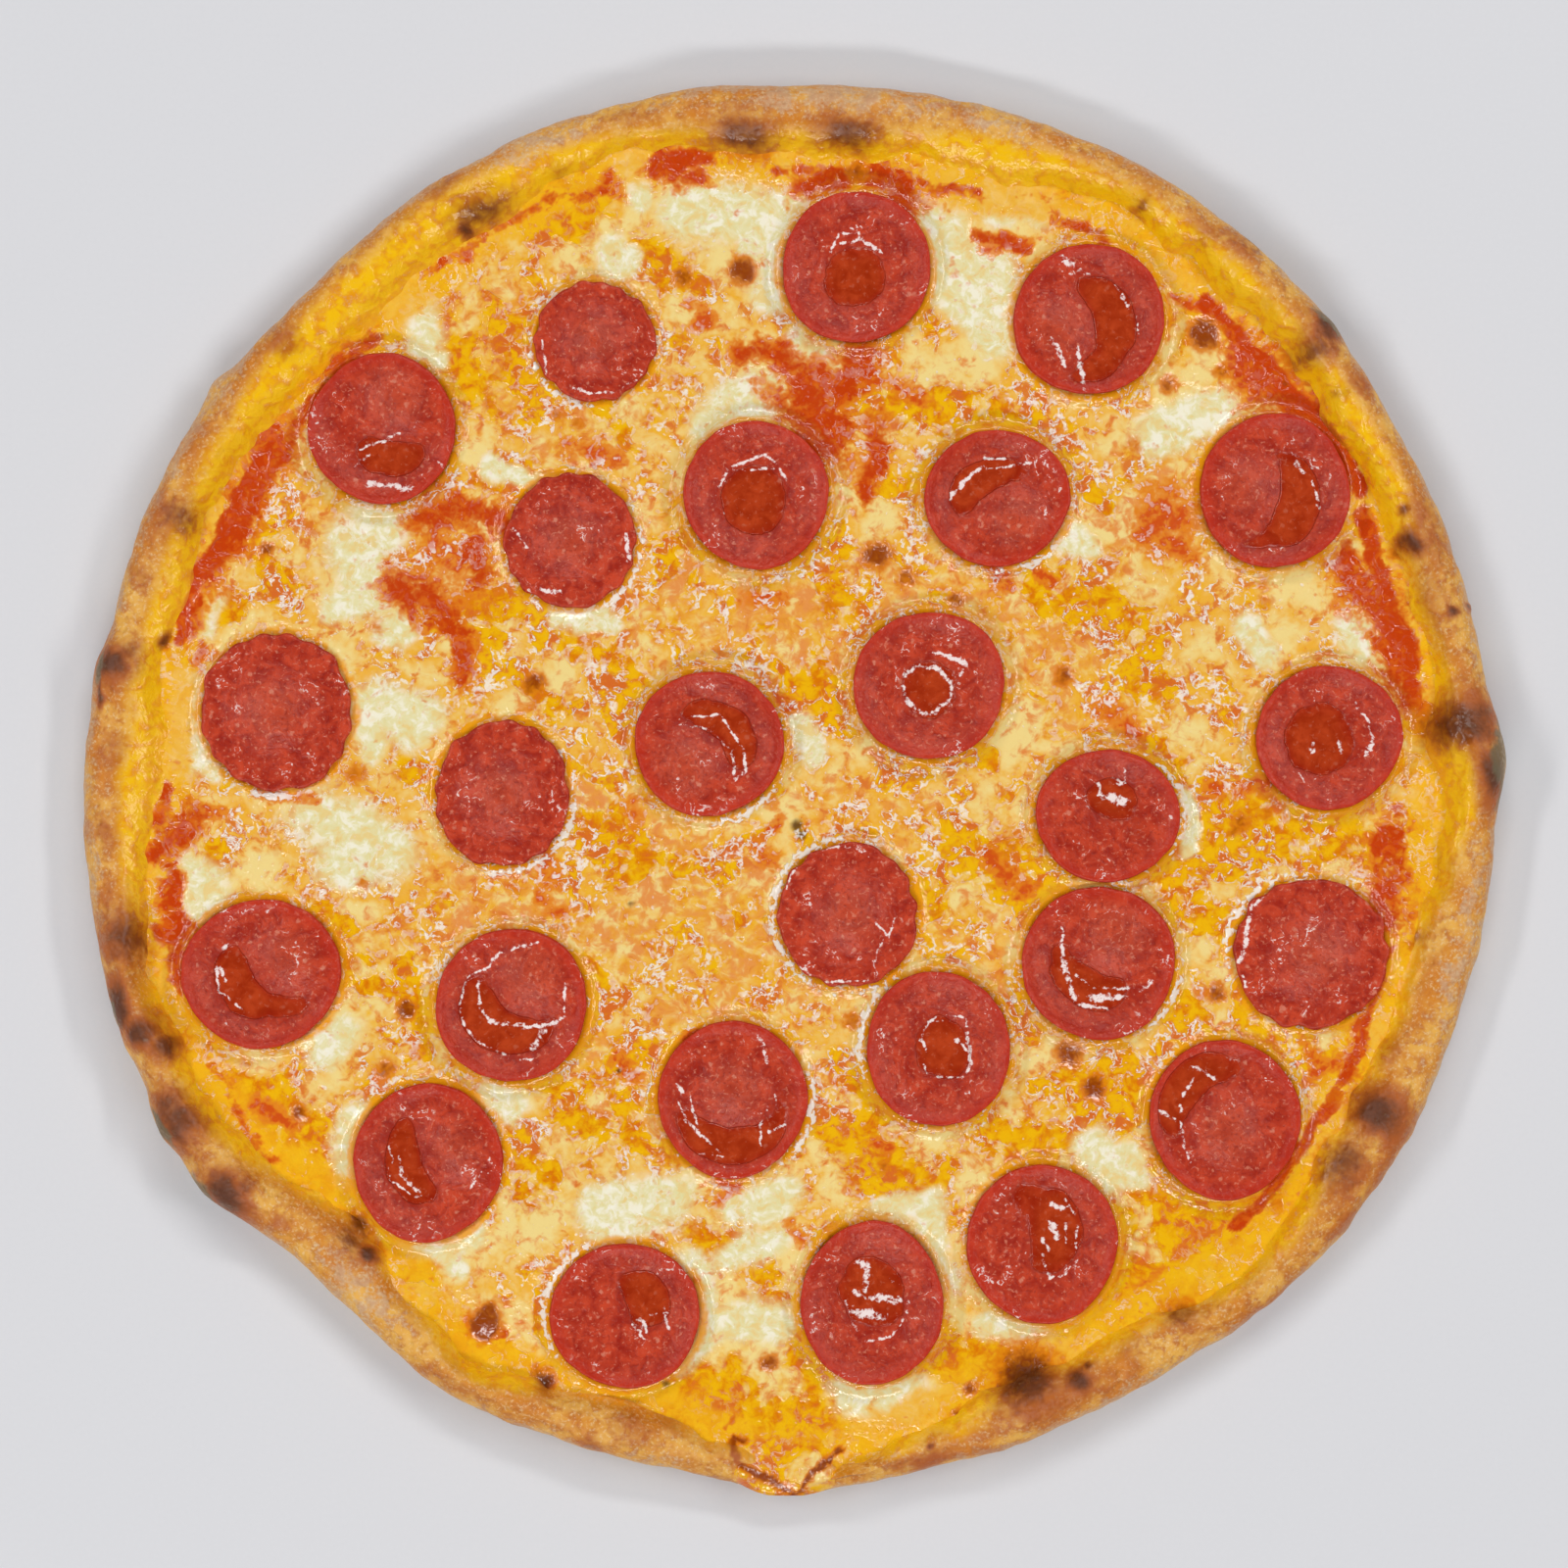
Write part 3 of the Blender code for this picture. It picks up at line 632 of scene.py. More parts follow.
# %% Amber oil
AMBER_OIL = (
    (650, 250, 700, 290, 24), (880, 410, 960, 420, 26), (1000, 430, 1040, 440, 20),
    (940, 320, 950, 340, 10), (565, 215, 600, 230, 24), (470, 350, 480, 400, 20),
    (520, 340, 540, 380, 20), (620, 420, 640, 440, 12), (500, 480, 540, 480, 14),
    (905, 500, 930, 490, 12), (700, 560, 690, 580, 16), (850, 560, 870, 560, 10),
    (1110, 500, 1130, 520, 10), (1060, 600, 1110, 620, 24), (1110, 610, 1150, 640, 20),
    (1160, 640, 1180, 690, 20), (850, 600, 870, 610, 20), (820, 690, 840, 730, 26),
    (560, 640, 580, 650, 18), (620, 670, 640, 680, 12), (530, 690, 560, 720, 14),
    (645, 710, 650, 790, 12), (460, 640, 500, 650, 18), (480, 610, 520, 620, 16),
    (420, 770, 440, 790, 14), (230, 620, 250, 620, 12), (270, 560, 290, 590, 20),
    (330, 560, 345, 570, 10), (215, 860, 225, 880, 14), (330, 860, 340, 870, 10),
    (330, 930, 350, 945, 12), (360, 980, 375, 1000, 14), (415, 1000, 430, 1050, 16),
    (600, 985, 620, 1020, 14), (610, 850, 660, 880, 26), (640, 1080, 680, 1070, 14),
    (530, 1100, 600, 1110, 10), (740, 935, 741, 935, 12), (940, 900, 960, 930, 12),
    (980, 860, 1040, 900, 28), (1050, 870, 1060, 890, 10), (1090, 1100, 1130, 1130, 20),
    (1140, 1080, 1160, 1120, 18), (1020, 1150, 1100, 1170, 18), (860, 1150, 940, 1200, 34),
    (960, 1210, 975, 1240, 10), (870, 1100, 900, 1130, 10), (1190, 880, 1270, 870, 24),
    (1250, 830, 1320, 850, 34), (1340, 850, 1400, 870, 24), (1210, 930, 1250, 960, 20),
    (1200, 1010, 1230, 1050, 20), (1260, 1050, 1300, 1070, 18), (1330, 1060, 1350, 1080, 16),
    (1300, 1200, 1330, 1240, 26), (1180, 1230, 1260, 1260, 40), (1130, 1290, 1200, 1310, 24),
    (1080, 1330, 1150, 1310, 20), (960, 1370, 1010, 1390, 24), (700, 1420, 800, 1440, 40),
    (820, 1380, 840, 1440, 20), (780, 1300, 800, 1360, 16), (720, 1260, 740, 1265, 16),
    (480, 1360, 520, 1380, 18), (560, 1310, 560, 1360, 8), (530, 1180, 560, 1200, 16),
    (520, 1210, 560, 1225, 10), (590, 1140, 640, 1150, 20), (650, 1160, 690, 1180, 14),
    (250, 1120, 330, 1160, 30), (300, 1170, 350, 1190, 24), (400, 1270, 430, 1290, 14),
    (1290, 800, 1300, 820, 20), (1180, 760, 1200, 790, 12), (960, 770, 1010, 770, 10),
)

# %% Brown blisters in the cheese: a point, a radius and a strength
BROWN_SPOTS = (
    (697, 285, 9, 0.8), (758, 278, 12, 0.9), (1228, 342, 14, 1.0), (1190, 393, 8, 0.7),
    (1245, 380, 7, 0.6), (895, 567, 13, 0.9), (925, 590, 9, 0.7), (975, 612, 8, 0.7), (843, 615, 8, 0.5),
    (545, 698, 10, 0.8), (545, 720, 6, 0.4), (273, 562, 7, 0.8), (385, 640, 7, 0.4), (365, 790, 10, 0.5),
    (410, 790, 6, 0.4), (415, 1030, 9, 0.9), (395, 1090, 9, 0.7), (370, 900, 6, 0.5), (308, 1134, 7, 0.8),
    (283, 865, 6, 0.4), (495, 1350, 14, 1.0), (500, 1335, 8, 0.9), (560, 1408, 8, 1.0),
    (575, 1425, 8, 0.4), (785, 1388, 8, 0.8), (990, 1415, 6, 0.8), (975, 1440, 5, 0.7),
    (1085, 690, 9, 0.7), (1090, 1075, 12, 0.9), (1115, 1110, 11, 0.9), (870, 1040, 8, 0.6),
    (900, 1190, 6, 0.5), (1030, 860, 14, 0.4), (1240, 1012, 8, 0.8), (1068, 1160, 7, 0.4),
    (1300, 1225, 10, 0.4), (1265, 840, 10, 0.6), (1290, 830, 6, 0.5), (1255, 850, 5, 0.6),
    (1365, 1120, 10, 0.3), (570, 425, 6, 0.6), (590, 432, 6, 0.5), (1155, 455, 8, 0.4),
    (330, 935, 8, 0.4), (360, 985, 8, 0.4), (1290, 615, 7, 0.4), (320, 540, 10, 0.3), (875, 175, 10, 0.6),
)

# %% Burnt edges of the tongue of cheese that ran over the rim, and dark flecks with a leaf of herb
BURNT_EDGE = (
    (748, 1464, 760, 1468, 3), (748, 1468, 752, 1486, 4), (752, 1488, 772, 1500, 4),
    (772, 1500, 791, 1510, 5), (791, 1511, 812, 1525, 4), (816, 1520, 825, 1506, 3),
    (825, 1506, 846, 1485, 4), (846, 1484, 857, 1476, 2.5),
)
DARK_FLECKS = (
    (813, 842, 7, 1.1), (818, 851, 6, 1.1), (645, 922, 4, 1.0), (632, 1092, 4, 1.0), (680, 1410, 5, 0.9),
    (607, 1435, 4, 1.0), (1310, 392, 4, 0.6),
)

# %% Broad zones: pale and frothy, salmon and matt, or glossy yellow
PALE_ZONES = (
    (330, 620, 370, 860, 80), (1190, 620, 1270, 660, 50), (700, 240, 780, 260, 70),
    (980, 260, 1020, 330, 50),
)
SALMON_ZONES = (
    (430, 920, 560, 900, 60), (560, 830, 700, 960, 100), (640, 600, 820, 640, 60),
    (700, 880, 760, 1000, 80), (970, 960, 1000, 980, 40), (1090, 690, 1130, 740, 50),
    (860, 830, 940, 850, 40), (600, 1060, 650, 1120, 50), (1180, 860, 1210, 880, 30),
    (560, 340, 560, 400, 60), (880, 620, 1060, 640, 40), (1180, 480, 1180, 560, 40),
)
# Parts of the cheese that have no froth, only smooth yellow oil
CALM_ZONES = (
    (640, 1400, 880, 1450, 60), (1100, 1290, 1250, 1230, 50), (1080, 1330, 960, 1390, 40),
    (440, 220, 600, 210, 50), (480, 330, 500, 400, 40), (1290, 1190, 1340, 1230, 40),
    (230, 1180, 290, 1260, 40), (1190, 340, 1250, 390, 40), (1380, 800, 1400, 860, 30),
    (860, 1170, 930, 1200, 30), (250, 1120, 320, 1150, 30), (690, 160, 760, 150, 30),
)


def burnt_edge(x, y, softness):
    """Where the edge of the tongue is burnt: its strokes, frayed by a fine cloud."""
    frayed = 0.7 * cloud(x, y, 1.6, 2, 361)
    return painted(x + frayed, y - frayed, BURNT_EDGE, softness)


strokes = (MOZZARELLA, BARE_SAUCE, STAINS, AMBER_OIL)
print("strokes:", sum(len(table) for table in strokes), "spots:", len(BROWN_SPOTS))

# %% [markdown]
# ## The slices' forms
# In the oven a slice of cured sausage shrinks and curls. Some become cups that hold melted fat, some
# blister up in the middle, and some do both. The solids give each slice its outline, form and place.
# The same formulas are repeated here, because the cheese has to know where the slices press on it.

# %% Slices: place, half sizes, form, direction of the blister, depth of the fat that stands in it
SLICE_THICKNESS = 1.5
# Each form: rise of the edge and height of the blister in mm, and how far off the middle the blister is
SLICE_FORMS = {
    "cup": (3.0, 0.0, 0.0), "shallow": (1.9, 0.7, 0.45), "half": (2.7, 3.3, 0.42),
    "dome": (0.4, 3.5, 0.0), "ringed": (2.0, 3.4, 0.12),
}
SLICES = (
    (13.6, 121.7, 17.4, 17.5, "cup", 270, 0.62), (67.9, 109.7, 17.5, 17.6, "half", 200, 0.82),
    (-47.4, 104.7, 14.0, 14.0, "dome", 0, 0.0), (-96.8, 84.2, 17.1, 17.4, "half", 60, 0.72),
    (-9.7, 68.8, 17.0, 17.1, "cup", 270, 0.70), (46.5, 68.1, 17.0, 15.8, "half", 310, 0.67),
    (111.1, 69.7, 17.4, 17.8, "half", 180, 0.82), (-53.1, 58.2, 15.4, 15.6, "dome", 0, 0.0),
    (-121.7, 18.2, 17.6, 18.4, "dome", 0, 0.0), (-69.0, -0.9, 15.7, 17.0, "dome", 0, 0.0),
    (-20.7, 10.8, 17.3, 17.0, "half", 225, 0.77), (30.6, 24.4, 17.6, 17.3, "cup", 90, 0.52),
    (123.7, 12.2, 16.8, 16.8, "cup", 0, 0.77), (72.2, -6.0, 16.9, 15.3, "shallow", 230, 0.50),
    (11.7, -29.2, 16.4, 16.7, "dome", 0, 0.0), (70.2, -40.3, 17.8, 18.0, "half", 60, 0.72),
    (119.8, -38.2, 18.1, 17.4, "dome", 0, 0.0), (-125.1, -42.8, 18.4, 17.2, "half", 35, 0.77),
    (-66.7, -50.1, 17.7, 17.8, "half", 60, 0.82), (-15.2, -72.2, 17.5, 18.2, "ringed", 90, 0.67),
    (32.7, -60.3, 16.9, 18.0, "cup", 0, 0.54), (-86.3, -86.9, 17.4, 18.2, "half", 30, 0.72),
    (99.6, -76.8, 17.6, 18.4, "ringed", 270, 0.72), (-40.3, -122.6, 17.7, 16.6, "shallow", 175, 0.62),
    (17.3, -119.6, 16.7, 18.8, "cup", 90, 0.64), (57.0, -105.8, 17.5, 18.4, "shallow", 170, 0.62),
)
SLICE_TILT_DEG = 2.5
SLICE_TILT_FROM = 108.0


def slice_rise(across, up, form, direction_deg):
    """Height of a slice over its lowest point: a cubic curl at the edge plus a bell-shaped blister."""
    edge_rise, blister_height, offset = SLICE_FORMS[form]
    heading = math.radians(direction_deg)
    toward = across * math.cos(heading) + up * math.sin(heading)
    lean = 0.45 * toward if offset > 0.3 else 0.0
    curl = edge_rise * np.hypot(across, up) ** 3.0 * (1.0 - lean)
    from_blister = np.hypot(across - offset * math.cos(heading), up - offset * math.sin(heading))
    return curl + blister_height * np.exp(-((from_blister / 0.5) ** 2))


def slice_outline(number, around):
    """A slice's radius as a share of its half width: a slightly wavy circle."""
    phases = np.random.default_rng(100 + number).uniform(0.0, 2.0 * math.pi, 3)
    return 1.0 + sum(0.009 * np.sin((k + 2) * around + phases[k]) for k in range(3))


def slice_slope(x, y):
    """How fast a slice near the rim rises outwards: the tangent of its tilt, as x and y parts."""
    away = math.hypot(x, y)
    if away < SLICE_TILT_FROM:
        return 0.0, 0.0
    steep = math.tan(math.radians(SLICE_TILT_DEG)) / away
    return steep * x, steep * y


def slice_under(number, x, y):
    """Share of the way out in slice number, and height of its underside over its own low point."""
    cx, cy, half_width, half_height, form, direction, _ = SLICES[number - 1]
    across = (x - cx) / half_width
    up = (y - cy) / half_height
    share = np.hypot(across, up)
    slope_x, slope_y = slice_slope(cx, cy)
    inside = np.minimum(share, 1.15)
    keep = inside / np.maximum(share, 1e-9)
    rise = slice_rise(across * keep, up * keep, form, direction)
    return share, rise + slope_x * (x - cx) + slope_y * (y - cy)


def slice_low(number):
    """Height of the lowest point of slice number, from its solid's box."""
    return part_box(f"pepperoni_{number:02d}")[0].z / MM


def slice_seat(number):
    """Height to add to slice_under so that the lowest point of the slice is where the solid's is."""
    cx, cy, half_width, half_height, _, _, _ = SLICES[number - 1]
    a, s = np.meshgrid(np.linspace(0.0, 2.0 * math.pi, 72), np.linspace(0.0, 1.0, 24))
    _, under = slice_under(number, cx + half_width * s * np.cos(a), cy + half_height * s * np.sin(a))
    return slice_low(number) - float(under.min())


SEATS = [slice_seat(number) for number in range(1, len(SLICES) + 1)]
print("slice seats in mm:", round(min(SEATS), 2), "to", round(max(SEATS), 2))

# %% [markdown]
# ## The rim of the crust
# The crust is a wheat dough, stretched by hand and baked on hot stone. Its rim puffs up, is dusted
# with flour outside, golden on top, and yellow inside where oil and cheese have run against it. Gas
# bubbles near the surface char first. The surface is lofted: a cross-section runs from the underside
# over the rim to the foot of the slope, and is carried round the circle. Noise pushes it along its
# normal, and a char spot pushes it a little more, because it is a bubble.

# %% Marks on the rim: angle in degrees, radius, half length along the rim, half width across, strength
# Angles run counterclockwise from the right, and lengths are in pixels of the picture
RIM_CHAR = (
    (5.6, 676, 22, 30, 0.80), (1.5, 700, 22, 12, 1.0), (15.2, 710, 4, 3, 0.9), (15.3, 688, 4, 7, 0.9),
    (21.8, 672, 10, 13, 0.85), (24.5, 678, 6, 6, 0.6), (36.0, 676, 5, 10, 0.4), (40.7, 686, 13, 20, 0.60),
    (41.2, 708, 15, 8, 0.90), (50.5, 716, 12, 6, 0.4), (59.3, 688, 4, 6, 0.5), (85.6, 671, 27, 13, 0.70),
    (94.6, 667, 27, 16, 0.75), (118.6, 669, 26, 12, 0.65), (120.4, 660, 9, 9, 0.85),
    (120.3, 712, 9, 7, 0.4), (156.2, 686, 17, 18, 0.55), (166.5, 661, 7, 4, 0.9),
    (169.4, 705, 17, 15, 0.95), (168.0, 692, 12, 12, 0.5), (172.3, 712, 16, 3, 0.8),
    (192.3, 700, 24, 19, 0.70), (197.8, 721, 26, 9, 0.95), (200.2, 706, 13, 15, 0.9),
    (202.2, 690, 12, 12, 0.85), (208.0, 711, 27, 17, 0.80), (215.2, 706, 27, 15, 0.95),
    (215.6, 690, 14, 10, 0.5), (225.3, 645, 18, 12, 0.60), (227.4, 640, 9, 7, 1.0),
    (224.6, 630, 14, 8, 0.65), (246.6, 651, 7, 11, 0.85), (252.5, 693, 14, 7, 0.35),
    (281.3, 681, 3, 4, 0.9), (291.2, 645, 27, 25, 0.90), (295.3, 665, 10, 10, 0.9),
    (296.6, 656, 6, 4, 0.7), (306.2, 658, 14, 15, 0.60), (325.4, 668, 22, 18, 0.65),
    (330.8, 675, 20, 24, 0.90), (346.5, 648, 10, 9, 0.4),
)
RIM_TOAST = (
    (5.5, 682, 40, 44, 0.9), (17.0, 674, 32, 20, 0.55), (22.5, 690, 40, 22, 0.55),
    (35.5, 705, 22, 16, 0.6), (41.0, 695, 24, 26, 0.8), (51.5, 712, 26, 12, 0.6),
    (54.2, 697, 20, 14, 0.45), (59.5, 682, 13, 16, 0.5), (65.0, 668, 9, 9, 0.45),
    (77.5, 704, 26, 12, 0.35), (85.6, 671, 36, 18, 0.7), (94.6, 669, 34, 22, 0.7),
    (104.0, 700, 22, 18, 0.45), (111.2, 668, 16, 15, 0.55), (118.8, 674, 34, 20, 0.7),
    (120.5, 710, 14, 12, 0.5), (128.0, 700, 60, 14, 0.25), (139.0, 688, 18, 26, 0.55),
    (156.2, 686, 24, 26, 0.7), (162.0, 702, 14, 16, 0.55), (169.2, 698, 26, 26, 0.8),
    (176.5, 690, 22, 16, 0.55), (183.5, 706, 26, 20, 0.55), (192.3, 698, 36, 26, 0.8),
    (200.5, 702, 26, 28, 0.8), (208.5, 704, 36, 26, 0.85), (215.0, 698, 32, 24, 0.8),
    (219.6, 680, 10, 12, 0.5), (226.0, 650, 34, 22, 0.65), (231.5, 642, 16, 14, 0.5),
    (238.0, 700, 50, 14, 0.35), (244.5, 706, 24, 10, 0.5), (252.5, 692, 20, 12, 0.6),
    (255.2, 668, 24, 16, 0.6), (258.5, 652, 24, 14, 0.55), (263.5, 705, 30, 12, 0.6),
    (280.6, 698, 34, 14, 0.75), (288.0, 698, 50, 10, 0.45), (291.2, 647, 34, 32, 0.8),
    (296.0, 672, 24, 20, 0.5), (301.0, 660, 20, 22, 0.5), (306.0, 660, 22, 22, 0.7),
    (313.0, 708, 70, 8, 0.5), (325.0, 706, 90, 10, 0.65), (325.2, 670, 28, 24, 0.7),
    (330.8, 678, 28, 30, 0.8), (336.3, 657, 22, 16, 0.6), (346.5, 648, 16, 15, 0.6),
    (353.5, 656, 20, 14, 0.45), (340.0, 690, 40, 10, 0.3), (148.0, 706, 50, 8, 0.3),
    (70.0, 712, 30, 8, 0.25),
)
ASH = (
    (2.6, 714, 36, 13, 1.0), (41.6, 717, 26, 8, 0.9), (50.0, 722, 40, 6, 0.5), (145.0, 724, 12, 6, 0.6),
    (170.2, 717, 22, 8, 0.9), (198.0, 728, 26, 6, 0.8), (208.0, 729, 24, 7, 1.0),
    (214.2, 727, 28, 9, 1.0), (300.0, 699, 50, 6, 0.4), (359.0, 714, 20, 12, 0.8),
)
FLOURED = (
    (12.0, 702, 50, 12, 0.8), (26.0, 706, 60, 8, 0.5), (52.0, 716, 80, 8, 0.5), (73.0, 706, 60, 16, 0.9),
    (86.0, 704, 110, 18, 1.0), (100.0, 712, 60, 8, 0.6), (112.0, 706, 70, 16, 0.95),
    (150.0, 711, 130, 9, 0.9), (187.0, 719, 90, 8, 0.8), (229.0, 676, 66, 26, 1.0),
    (258.0, 690, 30, 14, 0.6), (279.0, 684, 30, 7, 0.5), (300.0, 697, 60, 10, 0.7),
    (347.0, 694, 130, 16, 0.8), (166.0, 712, 20, 8, 0.5),
)
# Radius that the yellow oil has climbed to, every 15 degrees, and arcs of sauce along the toppings' edge:
# from and to in degrees, radius, half width, strength
OIL_REACH = (
    684, 664, 690, 692, 700, 690, 668, 690, 704, 694, 686, 682, 686, 690, 690, 630, 680, 640, 690, 668,
    652, 680, 658, 656,
)
SAUCE_ARCS = (
    (8, 26, 638, 16, 0.95), (18, 24, 612, 16, 0.8), (28, 50, 648, 14, 1.0), (36, 44, 630, 14, 0.9),
    (61, 66, 640, 12, 0.6), (67, 72, 594, 8, 0.7), (73, 92, 632, 9, 0.7), (79, 83, 622, 12, 0.8),
    (98, 103, 648, 13, 0.9), (108, 126, 646, 8, 0.55), (133, 147, 632, 13, 0.75),
    (146, 166, 645, 11, 1.0), (147, 151, 625, 12, 0.8), (166, 168, 620, 12, 0.7),
    (180, 192, 645, 14, 0.75), (192, 198, 662, 8, 0.8), (203, 215, 655, 9, 0.5), (238, 242, 630, 13, 0.8),
    (315, 330, 628, 10, 0.9), (331, 345, 626, 9, 0.8), (346, 358, 612, 9, 0.7), (303, 314, 610, 8, 0.3),
)


def round_circle(x, y, angle_deg, radius):
    """Distances from a point of the rim, in mm: round the circle, and outwards."""
    away = (np.degrees(np.arctan2(y, x)) - angle_deg + 180.0) % 360.0 - 180.0
    return np.radians(away) * radius * MM_PER_PIXEL, np.hypot(x, y) - radius * MM_PER_PIXEL


def rim_marks(x, y, marks, grow=1.0):
    """Soft oval marks on the rim: the strongest of bells in the distances round and outwards."""
    total = np.zeros_like(x)
    for angle_deg, radius, along, across, strength in marks:
        side, out = round_circle(x, y, angle_deg, radius)
        a = side / (along * MM_PER_PIXEL * grow)
        b = out / (across * MM_PER_PIXEL * grow)
        total = np.maximum(total, strength * np.exp(-((a * a + b * b) ** 1.3)))
    return total


def rim_arcs(x, y, arcs):
    """Soft bands along the rim: full on an arc between two angles, falling to 0 past its half width."""
    total = np.zeros_like(x)
    for start, end, radius, half, strength in arcs:
        side, out = round_circle(x, y, (start + end) / 2.0, radius)
        reach = math.radians((end - start) / 2.0) * radius * MM_PER_PIXEL
        away = np.hypot(np.maximum(np.abs(side) - reach, 0.0), out) / (0.8 * half * MM_PER_PIXEL)
        total = np.maximum(total, strength * (1.0 - ease(away, 0.3, 1.4)))
    return total


print("char marks:", len(RIM_CHAR), "toast marks:", len(RIM_TOAST))

# %% Cross-section carried round the circle
CRUST_AROUND = 1080
SAMPLES_PER_SPAN = 7
# The points of the cross-section. Below: how far in from the outer radius, and height. Outside: how far
# in, and share of the way from belly to crest. Inside: share of the way from the toppings' edge out to
# the crest, and share of the way up to it from the foot
UNDER_ROWS = ((16.0, 0.0), (11.0, 0.0), (5.0, 0.5), (1.3, 2.6), (0.0, RIM_BELLY_HEIGHT))
OUTER_ROWS = ((0.9, 0.50), (3.6, 0.86))
INNER_ROWS = ((0.55, 0.74), (0.22, 0.28), (0.0, 0.0), (-0.30, -0.34))


def smooth_path(points, samples):
    """A Catmull-Rom curve through the first axis of points, with that many samples in each span."""
    padded = np.concatenate((points[:1], points, points[-1:]))
    t = (np.arange(samples) / samples).reshape(-1, 1, 1)
    spans = [catmull_rom(*padded[k:k + 4], t) for k in range(len(points) - 1)]
    return np.concatenate((*spans, points[-1:]))


def crust_sections(angles):
    """Radius and height of the cross-section at each angle: underside, belly, crest, slope, foot."""
    turn = np.radians(angles)
    edge = smooth_ring(TOPPING_RADII, angles)
    edge = edge + 3.0 * cloud(edge * np.cos(turn), edge * np.sin(turn), 15.0, 3, 281)
    radius = crust_radius(angles)
    crest = crest_height(angles)
    crest_at = crest_radius(radius, edge)
    flat = np.zeros_like(radius)
    rows = [(radius - inset, flat + height) for inset, height in UNDER_ROWS]
    for inset, share in OUTER_ROWS:
        rows.append((radius - inset, RIM_BELLY_HEIGHT + share * (crest - RIM_BELLY_HEIGHT)))
    rows.append((crest_at, crest))
    for way, share in INNER_ROWS:
        rows.append((edge + way * (crest_at - edge), FOOT_HEIGHT + share * (crest - FOOT_HEIGHT)))
    return smooth_path(np.array([np.stack(row, axis=-1) for row in rows]), SAMPLES_PER_SPAN)


angles = np.arange(CRUST_AROUND) * 360.0 / CRUST_AROUND
turn = np.radians(angles)
section = crust_sections(angles)
print("rings:", section.shape[0], "points round:", section.shape[1])

# %% Push the crust along its normal, and work out where it is charred, toasted, floured or stained
along = np.gradient(section, axis=0)
length = np.maximum(np.hypot(along[..., 0], along[..., 1]), 1e-6)
normal_out = along[..., 1] / length
normal_up = -along[..., 0] / length
x = section[..., 0] * np.cos(turn)
y = section[..., 0] * np.sin(turn)
z = section[..., 1]
# The clouds are read at points skewed by their height, so that they vary up the walls too. wx and wy are
# x and y moved by clouds, so that the marks read there have wandering edges
skew_x, skew_y = x + 0.8 * z, y - 0.7 * z
wx = x + 1.5 * cloud(skew_x, skew_y, 8.0, 3, 301)
wy = y + 1.5 * cloud(skew_x, skew_y, 8.0, 3, 311)
char = rim_marks(wx, wy, RIM_CHAR, 1.1)
toast = np.maximum(rim_marks(wx, wy, RIM_TOAST), 1.15 * rim_marks(wx, wy, RIM_CHAR, 1.75))
burnt = burnt_edge(x, y, 0.9)
toast = np.maximum(toast, burnt)
char = np.maximum(char, 0.12 * burnt)
ash = rim_marks(wx, wy, ASH)
flour = rim_marks(wx, wy, FLOURED)
stain = rim_arcs(wx, wy, SAUCE_ARCS)
# How far the surface is pushed out, in mm: broad waves, small lumps, then bubbles under toast and char
WAVE_PUSH, LUMP_PUSH, TOAST_PUSH, CHAR_PUSH = 0.62, 0.24, 0.45, 0.55
exposed = ease(z, 1.5, 6.0)
waved = WAVE_PUSH * cloud(skew_x, skew_y, 15.0, 3, 321) + LUMP_PUSH * cloud(skew_x, skew_y, 4.5, 3, 331)
puffed = TOAST_PUSH * rim_marks(x, y, RIM_TOAST) + CHAR_PUSH * rim_marks(x, y, RIM_CHAR, 1.2)
push = exposed * waved + exposed * puffed
radius = section[..., 0] + push * normal_out
z = z + push * normal_up
rings = np.stack((radius * np.cos(turn), radius * np.sin(turn), z), axis=-1)
edge = smooth_ring(TOPPING_RADII, angles)
across = (crust_radius(angles) - section[..., 0]) / (crust_radius(angles) - edge)
oiled = (smooth_ring(OIL_REACH, angles) * MM_PER_PIXEL - section[..., 0]) / 6.0
rim_width = crust_radius(angles) - edge
print("rim width in mm:", rim_width.min().round(1), "to", rim_width.max().round(1))

# %% [markdown]
# ### Finish: baked wheat dough
# A baked crust is matt to satiny. The Maillard reaction turns it from straw to gold, brown and black,
# darkest on bubbles, and raw flour leaves pale dust outside. Inside the rim a film of oil makes it
# yellow and shiny. The colour is mixed in this order: straw and gold by a broad noise, yellow towards
# the slope, then stain, toast, char, ash and flour by the attributes, each edge broken by finer noise.

# %% Baked dough
CHARRED = "#4c240c"
finish, tree, here = new_finish("baked wheat dough")
values = read_marks("across", "char", "toast", "ash", "flour", "stain", "oiled")
broad = noise(75.0, 4.0, 0.6)
fine = noise(360.0, 2.5, 0.55, 0.3)
grit = noise(1300.0, 3.0, 0.6)
broken = minus(fine, 0.5)
patch = soft_step(broad, 0.36, 0.62)
speck = soft_step(fine, 0.42, 0.70)
gold = mixed(patch, "#ecb04a", "#d47f16")
gold = mixed(speck, gold, "#c6741c")
gold = mixed(soft_step(grit, 0.50, 0.72, 0.6), gold, "#f2d29a")
yellow = mixed(speck, "#fcc20c", "#ee9c12")
oily = ragged_step(scaled(broad, 1.6, values["oiled"]), broken, 0.8, 0.50, 1.25)
colour = mixed(oily, gold, yellow)
foot = ragged_step(values["across"], broken, 0.9, 0.78, 1.05, 0.75)
colour = mixed(foot, colour, "#f4a818")
red_at = ragged_step(values["stain"], broken, 1.6, 0.22, 0.85, 0.85)
colour = mixed(red_at, colour, "#dc6c20")
outward = soft_step(values["across"], 0.75, 0.25)
toast_at = scaled(times(patch, outward), 0.30, values["toast"])
toast_at = ragged_step(toast_at, broken, 0.6, 0.10, 1.0)
